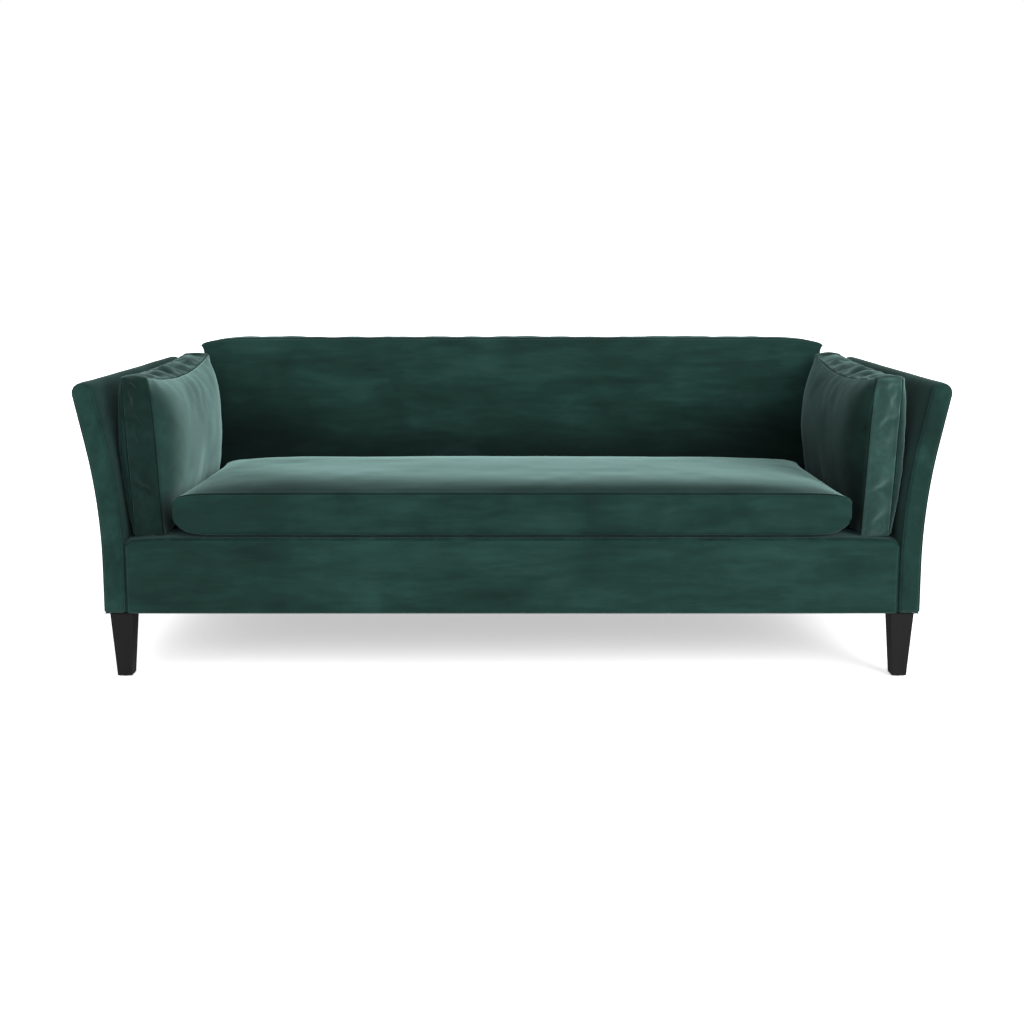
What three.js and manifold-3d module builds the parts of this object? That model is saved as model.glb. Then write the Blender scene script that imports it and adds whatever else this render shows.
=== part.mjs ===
// A three-seat sofa with thin arms that flare outwards, as high as the back, and loose cushions.
// It stands on four tapered legs. A timber frame carries sinuous seat springs, webbing in the back,
// foam pads and sewn covers. Four loose cushions rest on the sprung platform: one long seat cushion,
// one long back cushion, and one upright cushion against each arm.
// Millimetres. +X is to the right as seen from the front, +Y is to the rear, +Z is up.
// The origin is on the floor, in the middle of the width and of the depth.

import * as THREE from "three";
import { mergeVertices } from "three/addons/utils/BufferGeometryUtils.js";
import Module from "manifold-3d";

const wasm = await Module();
wasm.setup();

const degree = Math.PI / 180;

// Overall form
const baseWidth = 2036; // across the arms, at the bottom of the frame
const depth = 860; // front face to the rear edge of the back's top
const armHeight = 745; // tops of the arms and of the back
const legHeight = 167; // floor to the underside of the frame
const deckHeight = 358; // platform that the loose cushions rest on

// Arms: upright at the base, then an arc outwards, then straight to the top
const armThickness = 54;
const armTopFlat = 4; // between the two roundings of its top
const flareStart = 285; // height where the arc starts
const flareStraight = 150; // from the top of the arc to the top of the arm
const flareAngle = 12 * degree;

// Back: a wedge between the arms, thicker towards the seat
const backTopThickness = 54;
const backTopFlat = 6; // between the two roundings of its top
const insideRake = 12 * degree;
const outsideRake = 5 * degree;

// Layers of the upholstery
const fitGap = 0.3; // between pieces that touch
const coverThickness = 2;
const padThickness = 12; // foam on the arms, on the back and in front of the front rail
const dustCoverThickness = 1;
const deckPadThickness = 20;
const deckTuck = 5; // how far the platform reaches in under the back
const frontLip = 120; // how far the front rail's cover reaches back over the platform
const frontEdgeRadius = 16;

// Timber
const railThickness = 25;
const postDepth = 50; // arm posts, along the depth
const topRailHeight = 40;
const crossRailThickness = 30;
const crossRailHeight = 90;
const crossRailSpacing = 640;
const cornerBlockLength = 90;
const cornerBlockHeight = 45;
const backPostWidth = 32;
const backCentrePostWidth = 45;
const backLowerRailShares = [0.03, 0.16]; // its bottom and top, between the platform and the top

// Seat springs and their clip rails
const wire = 4;
const clipSheet = 1.5;
const clipDepth = 16;
const clipLip = 7;
const springCount = 9;
const clipRailRoom = 108; // from each end of the clip rails to the back's end posts
const springWidth = 56;
const springHalfLoops = 13;
const tieWire = 3;
const tieWireShares = [0.34, 0.66]; // places along the springs

// Back webbing
const webbingThickness = 1.5;
const webbingWidth = 50;
const webbingUprights = 7;
const webbingSpacing = 240;
const webbingCrossShares = [0.36, 0.68]; // heights between the two rails that carry it

// Legs
const legTopWidth = 56;
const legBottomWidth = 36;
const legSideInset = 14; // from the arm's outer face
const legFrontInset = 7; // from the front face, and from the rear one
const gliderRadius = 11;
const gliderThickness = 3;
const boltRadius = 4;
const boltFromRail = 12; // from the rails' inner faces
const boltInLeg = 42;
const boltInBlock = 38;

// Loose cushions
const cushionCover = 2;
const coreGap = 0.5;
const cushionCornerRadius = 9;
const zipShare = 0.3; // half the zip's width, as a share of half the border
const crownPowers = [7, 2.4]; // how flat a crown stays towards its ends and towards its sides
const restingPowers = [12, 12]; // the same where the panel rests on something
const besideArmPowers = [14, 2.4]; // the same where an arm cushion leans towards its arm
const borderRowShares = [-1, -zipShare, zipShare, 1];
const drawPower = 5; // how much of a seam's draw is kept near the middle of a panel
const earPower = 6; // how close to the corners the ends are drawn in, where not given
const pinchPower = 6;
const endBulgePower = 4;

const seatFrontInset = 5;
const seatBorder = 106;
const seatUpperCrown = 22;
const seatLowerCrown = 4;
const seatSideCrown = 5;
const seatEndCrown = 3;
const seatTaper = 5; // how much its ends turn inwards towards the back
const seatSideDraw = 4;
const seatEndDraw = 10;
const seatPinches = [42, 15]; // how far its lower and upper panels draw together at the ends
const seatEndPower = 36;
const seatRearClearance = 3;
const seatEndClearance = 34; // from the arm cushions' inner seams to its end seams

const backCushionHeight = 447; // at its corners
const backCushionBorder = 115;
const backCushionFrontCrown = 36;
const backCushionRearCrown = 10;
const backCushionSideCrown = 12;
const backCushionEndCrown = 3;
const backCushionEndClearance = 36; // to each arm, at the platform
const backCushionEndDraw = 16; // its ends are drawn in between small pinched corners
const backCushionTopRise = 18; // how far the top seams rise between the corners
const backCushionPinch = 7; // of each panel, at the corners
const backCushionEndPower = 18;
const backCushionEarPower = 16;

const armCushionHeight = 399;
const armCushionBorder = 80;
const armCushionInnerCrown = 44;
const armCushionInnerSkewShare = 0.25; // how far the inner crown's peak lies above the middle
const armCushionOuterCrown = 22;
const armCushionSideCrown = 9;
const armCushionEndCrown = 8;
const armCushionClearance = 12; // to the arm, at the platform
const armCushionFrontInset = 25;
const armCushionLeanFront = 3.2 * degree;
const armCushionLeanRear = 5 * degree;
const armCushionRearRise = 13; // how much higher its rear end is
const armCushionToeIn = 20; // how much nearer the middle its rear end stands
const armCushionRearClearance = 4;
const armCushionEndDraw = 8;
const armCushionTopSags = [27, 8]; // of the inner and the outer top seam, between the corners
const armCushionPinch = 4; // of each panel, at the corners
const armCushionEndPower = 2;

// Overrun for cutting tools, and numbers of facets
const overrun = 10;
const flareFacetCount = 6;
const filletFacetCount = 4;
const boltFacetCount = 12;
const zipEndCellCount = 2; // cells of the border between a zip and the corners
const weldTolerance = 1e-4;

// Places worked out from the sizes above
const halfBase = baseWidth / 2;
const armTopRadius = (armThickness - armTopFlat) / 2;
const backTopRadius = (backTopThickness - backTopFlat) / 2;
const flareRadius = (armHeight - flareStraight - flareStart) / Math.sin(flareAngle); // outer face
const frontY = -depth / 2;
const rearY = depth / 2;
const armInnerBase = halfBase - armThickness;
const padInset = coverThickness + fitGap;
const timberInset = padInset + padThickness + fitGap;
const dustCoverBottom = legHeight + fitGap;
const frameBottom = dustCoverBottom + dustCoverThickness + fitGap;
const deckPadTop = deckHeight - coverThickness - fitGap;
const deckPadBottom = deckPadTop - deckPadThickness;
const springTop = deckPadBottom - fitGap - clipSheet - fitGap;
const springPlane = springTop - wire / 2;
const clipBottom = springPlane - wire / 2 - fitGap - clipSheet;
const railTop = clipBottom - fitGap;
const tanInside = Math.tan(insideRake);
const tanOutside = Math.tan(outsideRake);
const backInsideY = (z) => rearY - backTopThickness - (armHeight - z) * tanInside;
const backOutsideY = (z) => rearY - (armHeight - z) * tanOutside;
const backTimberInset = timberInset + webbingThickness + fitGap; // from the back's inside face
const rearBaseY = backOutsideY(legHeight);
const rearRailBack = backOutsideY(frameBottom) - timberInset / Math.cos(outsideRake) - fitGap;
const rearRailFront = rearRailBack - railThickness;
const frontRailFront = frontY + timberInset;
const frontRailBack = frontRailFront + railThickness;
const deckRear = backInsideY(deckHeight) + deckTuck;

// Solids

function solidOf(geometry) {
  const bare = new THREE.BufferGeometry();
  bare.setAttribute("position", geometry.getAttribute("position"));
  if (geometry.index) bare.setIndex(geometry.index);
  const welded = mergeVertices(bare, weldTolerance);
  return new wasm.Manifold(
    new wasm.Mesh({
      numProp: 3,
      vertProperties: new Float32Array(welded.attributes.position.array),
      triVerts: new Uint32Array(welded.index.array),
    }),
  );
}

function geometryOf(solid) {
  const mesh = solid.getMesh();
  const geometry = new THREE.BufferGeometry();
  geometry.setAttribute("position", new THREE.BufferAttribute(mesh.vertProperties, 3));
  geometry.setIndex(new THREE.BufferAttribute(mesh.triVerts, 1));
  geometry.computeVertexNormals();
  return geometry;
}

// Extrudes an outline of [x, z] points from y0 to y1.
function prismAlongY(outline, y0, y1) {
  const shape = new THREE.Shape(outline.map(([x, z]) => new THREE.Vector2(x, z)));
  const geometry = new THREE.ExtrudeGeometry(shape, { depth: y1 - y0, bevelEnabled: false });
  geometry.applyMatrix4(
    new THREE.Matrix4().makeBasis(
      new THREE.Vector3(1, 0, 0),
      new THREE.Vector3(0, 0, 1),
      new THREE.Vector3(0, -1, 0),
    ),
  );
  geometry.translate(0, y1, 0);
  return solidOf(geometry);
}

// Extrudes an outline of [y, z] points from x0 to x1.
function prismAlongX(outline, x0, x1) {
  const shape = new THREE.Shape(outline.map(([y, z]) => new THREE.Vector2(y, z)));
  const geometry = new THREE.ExtrudeGeometry(shape, { depth: x1 - x0, bevelEnabled: false });
  geometry.applyMatrix4(
    new THREE.Matrix4().makeBasis(
      new THREE.Vector3(0, 1, 0),
      new THREE.Vector3(0, 0, 1),
      new THREE.Vector3(1, 0, 0),
    ),
  );
  geometry.translate(x0, 0, 0);
  return solidOf(geometry);
}

// Extrudes an outline of [x, y] points from z0 to z1.
function prismAlongZ(outline, z0, z1) {
  const shape = new THREE.Shape(outline.map(([x, y]) => new THREE.Vector2(x, y)));
  const geometry = new THREE.ExtrudeGeometry(shape, { depth: z1 - z0, bevelEnabled: false });
  geometry.translate(0, 0, z0);
  return solidOf(geometry);
}

function box(x0, x1, y0, y1, z0, z1) {
  const geometry = new THREE.BoxGeometry(x1 - x0, y1 - y0, z1 - z0);
  geometry.translate((x0 + x1) / 2, (y0 + y1) / 2, (z0 + z1) / 2);
  return solidOf(geometry);
}

function rod(x, y, radius, z0, z1) {
  const geometry = new THREE.CylinderGeometry(radius, radius, z1 - z0, boltFacetCount);
  geometry.rotateX(Math.PI / 2);
  geometry.translate(x, y, (z0 + z1) / 2);
  return solidOf(geometry);
}

// Rounds the corners of an outline whose points are [a, b, radius], the radius being optional.
function rounded(corners) {
  return corners.flatMap(([a, b, radius = 0], i) => {
    if (radius <= 0) return [[a, b]];
    const here = new THREE.Vector2(a, b);
    const [pa, pb] = corners[(i + corners.length - 1) % corners.length];
    const [na, nb] = corners[(i + 1) % corners.length];
    const back = new THREE.Vector2(pa, pb).sub(here).normalize();
    const on = new THREE.Vector2(na, nb).sub(here).normalize();
    const half = Math.acos(back.dot(on)) / 2;
    const middle = back.clone().add(on).normalize().multiplyScalar(radius / Math.sin(half)).add(here);
    const first = here.clone().addScaledVector(back, radius / Math.tan(half)).sub(middle);
    const last = here.clone().addScaledVector(on, radius / Math.tan(half)).sub(middle);
    const turn = Math.atan2(first.cross(last), first.dot(last));
    return Array.from({ length: filletFacetCount + 1 }, (_, k) => {
      const spoke = first.clone().rotateAround(new THREE.Vector2(), (turn * k) / filletFacetCount);
      return [middle.x + spoke.x, middle.y + spoke.y];
    });
  });
}

// Arms. Everything here is the right arm, and the left one mirrors it.

// A line that runs up the arm, "into" inside its outer face, from z0 to z1: a list of [x, z].
function armLine(into, z0, z1) {
  const radius = flareRadius + into;
  const centreX = halfBase + flareRadius;
  const line = [[centreX - radius, 0]];
  for (let k = 0; k <= flareFacetCount; k++) {
    const angle = (flareAngle * k) / flareFacetCount;
    line.push([centreX - radius * Math.cos(angle), flareStart + radius * Math.sin(angle)]);
  }
  const [endX, endZ] = line.at(-1);
  line.push([endX + armHeight * Math.tan(flareAngle), endZ + armHeight]);
  const at = (z) => {
    const above = line.findIndex(([, height]) => height >= z);
    const [xa, za] = line[above - 1];
    const [xb, zb] = line[above];
    return [xa + ((xb - xa) * (z - za)) / (zb - za), z];
  };
  return [at(z0), ...line.filter(([, height]) => height > z0 && height < z1), at(z1)];
}

// The outline of the arm seen from the front, with every face moved inwards by inset.
function armOutline(inset, bottom) {
  const top = armHeight - inset;
  const radius = Math.max(armTopRadius - inset, fitGap);
  const outer = armLine(inset, bottom, top);
  const inner = armLine(armThickness - inset, bottom, top).reverse();
  outer.at(-1).push(radius);
  inner[0].push(radius);
  return rounded([...outer, ...inner]);
}

// The arm seen from the side, with every face moved inwards by inset.
function armSideOutline(inset, bottom) {
  const top = armHeight + overrun;
  const shift = inset / Math.cos(outsideRake);
  return [
    [frontY + inset, bottom],
    [backOutsideY(bottom) - shift, bottom],
    [backOutsideY(top) - shift, top],
    [frontY + inset, top],
  ];
}

function armBody(inset, bottom) {
  return prismAlongY(armOutline(inset, bottom), frontY - overrun, rearY + overrun).intersect(
    prismAlongX(armSideOutline(inset, bottom), 0, halfBase * 2),
  );
}

// The strip between two lines that follow the arm's inner face. Positive values lie inside the arm.
function armStrip(outward, inward, z0, z1) {
  const a = armLine(armThickness - outward, z0, z1);
  const b = armLine(armThickness + inward, z0, z1).reverse();
  return [...a, ...b];
}

// What a layer of the arm gives up: its inner wall under the platform, where the seat box is open,
// the dust cover's room, and the way that the back's end post takes through it.
function armInnerOpenings() {
  const z1 = deckPadBottom - fitGap;
  const underDeck = prismAlongY(
    armStrip(timberInset, overrun, legHeight - overrun, z1),
    frontRailFront - fitGap,
    rearY + overrun,
  );
  const overDustCover = dustCoverRoom(legHeight - overrun, frameBottom);
  return underDeck.add(overDustCover).add(backPostSolid(fitGap));
}

function armCover() {
  return armBody(0, legHeight + fitGap)
    .subtract(armBody(coverThickness, legHeight - overrun))
    .subtract(armInnerOpenings());
}

function armPad() {
  return armBody(padInset, frameBottom)
    .subtract(armBody(padInset + padThickness, legHeight - overrun))
    .subtract(armInnerOpenings());
}

// A piece of the arm's timber core between two side outlines, given as [y, z] points.
function armTimber(outline) {
  const core = prismAlongY(
    armOutline(timberInset, frameBottom),
    frontY - overrun,
    rearY + overrun,
  );
  return core.intersect(prismAlongX(outline, 0, halfBase * 2));
}

const armTopRailBottom = armHeight - timberInset - topRailHeight;
const armRearEdge = (z) => backOutsideY(z) - timberInset / Math.cos(outsideRake);
const armPostFront = (z) => armRearEdge(z) - postDepth;

function armFrontPost() {
  const y1 = frontRailFront + postDepth;
  const z1 = armTopRailBottom - fitGap;
  return armTimber([
    [frontRailFront, frameBottom],
    [y1, frameBottom],
    [y1, z1],
    [frontRailFront, z1],
  ]);
}

function armRearPost() {
  const z1 = armTopRailBottom - fitGap;
  return armTimber([
    [armPostFront(frameBottom), frameBottom],
    [armRearEdge(frameBottom), frameBottom],
    [armRearEdge(z1), z1],
    [armPostFront(z1), z1],
  ]);
}

function armTopRail() {
  const z1 = armHeight + overrun;
  return armTimber([
    [frontRailFront, armTopRailBottom],
    [armRearEdge(armTopRailBottom), armTopRailBottom],
    [armRearEdge(z1), z1],
    [frontRailFront, z1],
  ]);
}

function sideRail() {
  const y0 = frontRailFront + postDepth + fitGap;
  return armTimber([
    [y0, frameBottom],
    [armPostFront(frameBottom) - fitGap, frameBottom],
    [armPostFront(railTop) - fitGap, railTop],
    [y0, railTop],
  ]);
}

// Back

// The wedge of the back seen from the side, with its inside face, its outside face and its top
// moved inwards.
function backOutline(fromInside, fromOutside, fromTop, bottom) {
  const top = armHeight - fromTop;
  const inside = fromInside / Math.cos(insideRake);
  const outside = fromOutside / Math.cos(outsideRake);
  const radius = Math.max(backTopRadius - fromTop, fitGap);
  return rounded([
    [backInsideY(bottom) + inside, bottom],
    [backOutsideY(bottom) - outside, bottom],
    [backOutsideY(top) - outside, top, radius],
    [backInsideY(top) + inside, top, radius],
  ]);
}

// The room between the two arms, seen from the front. It stops "clear" short of their inner faces.
function betweenArms(clear, z0, z1) {
  const right = armLine(armThickness + clear, z0, z1);
  const left = right.map(([x, z]) => [-x, z]).reverse();
  return prismAlongY([...right, ...left], frontY - overrun, rearY + overrun);
}

function backLayer(inset) {
  return prismAlongX(backOutline(inset, inset, inset, legHeight - overrun), -halfBase, halfBase);
}

// Below the platform the inside of the back is open to the seat box.
function backInsideOpening() {
  const z0 = legHeight - overrun;
  const z1 = deckHeight + fitGap;
  return box(-halfBase, halfBase, frontY, backOutsideY(z0) - timberInset * 2, z0, z1);
}

function backCover() {
  return backLayer(0)
    .subtract(backLayer(coverThickness))
    .subtract(backInsideOpening())
    .intersect(betweenArms(fitGap, legHeight + fitGap, armHeight + overrun));
}

function backPad() {
  return backLayer(padInset)
    .subtract(backLayer(padInset + padThickness))
    .subtract(backInsideOpening())
    .intersect(betweenArms(fitGap, frameBottom, armHeight + overrun));
}

const backTopRailBottom = armHeight - timberInset - topRailHeight;

function backTimber(z0, z1) {
  return prismAlongX(
    backOutline(backTimberInset, timberInset, timberInset, frameBottom),
    -halfBase - overrun,
    halfBase + overrun,
  ).intersect(box(-halfBase - overrun, halfBase + overrun, frontY, rearY, z0, z1));
}

// The right end post. It reaches into the arm, up to the arm's own timber.
function backPostSolid(grow) {
  const z0 = railTop + fitGap;
  const z1 = backTopRailBottom - fitGap;
  const strip = prismAlongY(
    armStrip(timberInset - fitGap + grow, backPostWidth, z0 - grow, z1 + grow),
    frontY,
    rearY,
  );
  const wedge = prismAlongX(
    backOutline(backTimberInset - grow, timberInset - grow, timberInset, frameBottom),
    0,
    halfBase * 2,
  );
  return wedge.intersect(strip);
}

function backTopRail() {
  return backTimber(backTopRailBottom, armHeight).intersect(
    betweenArms(fitGap, legHeight, armHeight + overrun),
  );
}

const [backLowerRailBottom, backLowerRailTop] = backLowerRailShares.map(
  (share) => deckHeight + (armHeight - deckHeight) * share,
);

// A board that lies in the plane of the back's inside face, behind the webbing.
function backBoard(z0, z1) {
  const front = backTimberInset / Math.cos(insideRake);
  const thickness = railThickness / Math.cos(insideRake);
  return [
    [backInsideY(z0) + front, z0],
    [backInsideY(z0) + front + thickness, z0],
    [backInsideY(z1) + front + thickness, z1],
    [backInsideY(z1) + front, z1],
  ];
}

// The room for timber in front of the outside foam
function aheadOfOutsidePad() {
  return prismAlongX(backOutline(0, timberInset, timberInset, frameBottom), -halfBase, halfBase);
}

function backLowerRail() {
  return prismAlongX(backBoard(backLowerRailBottom, backLowerRailTop), -halfBase, halfBase)
    .intersect(betweenArms(backPostWidth + fitGap, legHeight, armHeight))
    .intersect(aheadOfOutsidePad());
}

function backCentrePost() {
  return prismAlongX(
    backBoard(backLowerRailTop + fitGap, backTopRailBottom - fitGap),
    -backCentrePostWidth / 2,
    backCentrePostWidth / 2,
  ).intersect(aheadOfOutsidePad());
}

// Upright straps with two cross straps, stapled to the front of the two back rails.
function backWebbing() {
  const front = (timberInset + fitGap / 2) / Math.cos(insideRake);
  const thickness = webbingThickness / Math.cos(insideRake);
  const strap = (z0, z1, x0, x1) =>
    prismAlongX(
      [
        [backInsideY(z0) + front, z0],
        [backInsideY(z0) + front + thickness, z0],
        [backInsideY(z1) + front + thickness, z1],
        [backInsideY(z1) + front, z1],
      ],
      x0,
      x1,
    );
  const z0 = backLowerRailBottom + webbingThickness;
  const z1 = backTopRailBottom + topRailHeight / 2;
  const reach = (webbingSpacing * (webbingUprights - 1) + webbingWidth) / 2;
  let unit = null;
  for (let k = 0; k < webbingUprights; k++) {
    const x = (k - (webbingUprights - 1) / 2) * webbingSpacing;
    const upright = strap(z0, z1, x - webbingWidth / 2, x + webbingWidth / 2);
    unit = unit ? unit.add(upright) : upright;
  }
  for (const share of webbingCrossShares) {
    const z = z0 + (z1 - z0) * share;
    unit = unit.add(strap(z - webbingWidth / 2, z + webbingWidth / 2, -reach, reach));
  }
  return unit;
}

// Seat box

const timberInnerX = armInnerBase + timberInset; // inner face of the arm's timber, at the base

function frontRail() {
  const x = timberInnerX - fitGap;
  return box(-x, x, frontRailFront, frontRailBack, frameBottom, railTop);
}

function rearRail() {
  const x = timberInnerX - fitGap;
  return box(-x, x, rearRailFront, rearRailBack, frameBottom, railTop);
}

function crossRail(x) {
  return box(
    x - crossRailThickness / 2,
    x + crossRailThickness / 2,
    frontRailBack + fitGap,
    rearRailFront - fitGap,
    frameBottom,
    frameBottom + crossRailHeight,
  );
}

const legX = halfBase - legSideInset - legTopWidth / 2;
const boltX = timberInnerX - fitGap - boltFromRail;
const frontCorner = {
  legY: frontY + legFrontInset + legTopWidth / 2,
  boltY: frontRailBack + fitGap + boltFromRail,
};
const rearCorner = {
  legY: rearBaseY - legFrontInset - legTopWidth / 2,
  boltY: rearRailFront - fitGap - boltFromRail,
};

// A triangular block in a corner of the seat box. "into" is +1 where the box lies behind railY.
function cornerBlock(railY, into, { boltY }) {
  const x = timberInnerX - fitGap;
  const y = railY + into * fitGap;
  const corners = [
    [x, y],
    [x, y + into * cornerBlockLength],
    [x - cornerBlockLength, y],
  ];
  const outline = into > 0 ? corners : corners.reverse();
  return prismAlongZ(outline, frameBottom, frameBottom + cornerBlockHeight).subtract(
    rod(boltX, boltY, boltRadius + fitGap, frameBottom - overrun, frameBottom + boltInBlock + fitGap),
  );
}

// The outline of a bent strip: up the front of the seat, round its edge and back over the platform.
// "into" is how far the strip's outer side lies inside the cover's outer face.
function frontStrip(into, front, top, bottom, back) {
  const radius = Math.max(frontEdgeRadius - into, fitGap);
  const outerY = frontY + into;
  const outerZ = deckHeight - into;
  return rounded([
    [outerY, bottom],
    [outerY + front, bottom],
    [outerY + front, outerZ - top, Math.max(radius - front, fitGap)],
    [back, outerZ - top],
    [back, outerZ],
    [outerY, outerZ, radius],
  ]);
}

const lipY = frontY + frontLip;

function frontRailCover() {
  const x = armInnerBase - fitGap;
  const bottom = legHeight + fitGap;
  return prismAlongX(frontStrip(0, coverThickness, coverThickness, bottom, lipY), -x, x);
}

function frontRailPad() {
  const x = armInnerBase - fitGap;
  const back = frontRailBack - fitGap;
  return prismAlongX(
    frontStrip(padInset, padThickness, deckPadThickness, frameBottom, back),
    -x,
    x,
  );
}

function deckPad() {
  const x = armInnerBase - fitGap;
  return box(-x, x, frontRailBack, deckRear, deckPadBottom, deckPadTop);
}

function deckCover() {
  const x = armInnerBase - fitGap;
  return box(-x, x, lipY + fitGap, deckRear, deckHeight - coverThickness, deckHeight);
}

// The room inside the covers' lower edges, from z0 to z1
function dustCoverRoom(z0, z1) {
  const x = halfBase - padInset;
  return box(-x, x, frontY + padInset, rearBaseY - padInset, z0, z1);
}

function dustCover() {
  let sheet = dustCoverRoom(dustCoverBottom, dustCoverBottom + dustCoverThickness);
  for (const side of [-1, 1]) {
    for (const { boltY } of [frontCorner, rearCorner]) {
      const z0 = dustCoverBottom - overrun;
      const z1 = dustCoverBottom + overrun;
      sheet = sheet.subtract(rod(side * boltX, boltY, boltRadius + fitGap, z0, z1));
    }
  }
  return sheet;
}

// A channel along the top of a rail that holds the springs' end bars. It is open towards "into".
const clipHalf = armInnerBase - backPostWidth - clipRailRoom;
const springSpacing = (2 * (clipHalf - clipDepth) - springWidth) / (springCount - 1);
const clipTop = springPlane + wire / 2 + fitGap;

function clipRail(railMiddle, into) {
  const back = railMiddle - (into * clipDepth) / 2;
  const at = (along) => back + into * along;
  const corners = [
    [at(0), clipBottom],
    [at(clipDepth), clipBottom],
    [at(clipDepth), clipBottom + clipSheet],
    [at(clipSheet), clipBottom + clipSheet],
    [at(clipSheet), clipTop],
    [at(clipLip), clipTop],
    [at(clipLip), clipTop + clipSheet],
    [at(0), clipTop + clipSheet],
  ];
  return prismAlongX(into > 0 ? corners : corners.reverse(), -clipHalf, clipHalf);
}

const frontClipMiddle = (frontRailFront + frontRailBack) / 2;
const rearClipMiddle = (rearRailFront + rearRailBack) / 2;
const springFront = frontClipMiddle - clipDepth / 2 + clipSheet + fitGap + wire / 2;
const springRear = rearClipMiddle + clipDepth / 2 - clipSheet - fitGap - wire / 2;

// One sinuous spring: square wire that runs across and turns back, from rail to rail.
function sinuousSpring(x) {
  const pitch = (springRear - springFront) / springHalfLoops;
  const half = (springWidth - wire) / 2;
  const bend = pitch / 2;
  const path = [new THREE.Vector2(x - half, springFront)];
  for (let k = 0; k < springHalfLoops; k++) {
    const y = springFront + pitch * k;
    const side = k % 2 === 0 ? 1 : -1;
    if (k > 0) path.push(new THREE.Vector2(x - side * (half - bend), y));
    path.push(new THREE.Vector2(x + side * (half - bend), y));
    path.push(new THREE.Vector2(x + side * half, y + bend));
  }
  const side = springHalfLoops % 2 === 0 ? 1 : -1;
  path.push(new THREE.Vector2(x - side * (half - bend), springRear));
  path.push(new THREE.Vector2(x + side * half, springRear));
  return sweepWire(path);
}

// Sweeps a square wire along a flat path of points at the springs' height.
function sweepWire(path) {
  const reach = wire / 2;
  const left = [];
  const right = [];
  path.forEach((point, i) => {
    const before = point.clone().sub(path[Math.max(i - 1, 0)]);
    const after = path[Math.min(i + 1, path.length - 1)].clone().sub(point);
    const a = (before.length() ? before : after).clone().normalize();
    const b = (after.length() ? after : before).clone().normalize();
    const tangent = a.clone().add(b).normalize();
    const across = new THREE.Vector2(-tangent.y, tangent.x);
    const stretch = reach / Math.max(across.dot(new THREE.Vector2(-a.y, a.x)), 0.5);
    left.push([point.x + across.x * stretch, point.y + across.y * stretch]);
    right.push([point.x - across.x * stretch, point.y - across.y * stretch]);
  });
  return prismAlongZ([...right, ...left.reverse()], springPlane - reach, springPlane + reach);
}

// The springs with two tie wires clipped across them.
function springUnit() {
  const first = (-springSpacing * (springCount - 1)) / 2;
  let unit = sinuousSpring(first);
  for (let k = 1; k < springCount; k++) unit = unit.add(sinuousSpring(first + springSpacing * k));
  const reach = -first + springWidth / 2;
  for (const share of tieWireShares) {
    const y = springFront + (springRear - springFront) * share;
    const z = springPlane - wire / 2;
    const tie = box(-reach, reach, y - tieWire / 2, y + tieWire / 2, z - tieWire / 2, z + tieWire / 2);
    unit = unit.add(tie);
  }
  return unit;
}

// Legs

function leg({ legY, boltY }) {
  const toCorner = Math.SQRT1_2;
  const bottom = gliderThickness + fitGap;
  const geometry = new THREE.CylinderGeometry(
    legTopWidth * toCorner,
    legBottomWidth * toCorner,
    legHeight - bottom,
    4,
  );
  geometry.rotateX(Math.PI / 2);
  geometry.rotateZ(Math.PI / 4);
  geometry.translate(legX, legY, (legHeight + bottom) / 2);
  return solidOf(geometry).subtract(
    rod(boltX, boltY, boltRadius + fitGap, legHeight - boltInLeg - fitGap, legHeight + overrun),
  );
}

function legBolt({ boltY }) {
  return rod(boltX, boltY, boltRadius, legHeight - boltInLeg, frameBottom + boltInBlock);
}

function glider({ legY }) {
  return rod(legX, legY, gliderRadius, 0, gliderThickness);
}

// Loose cushions

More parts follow.
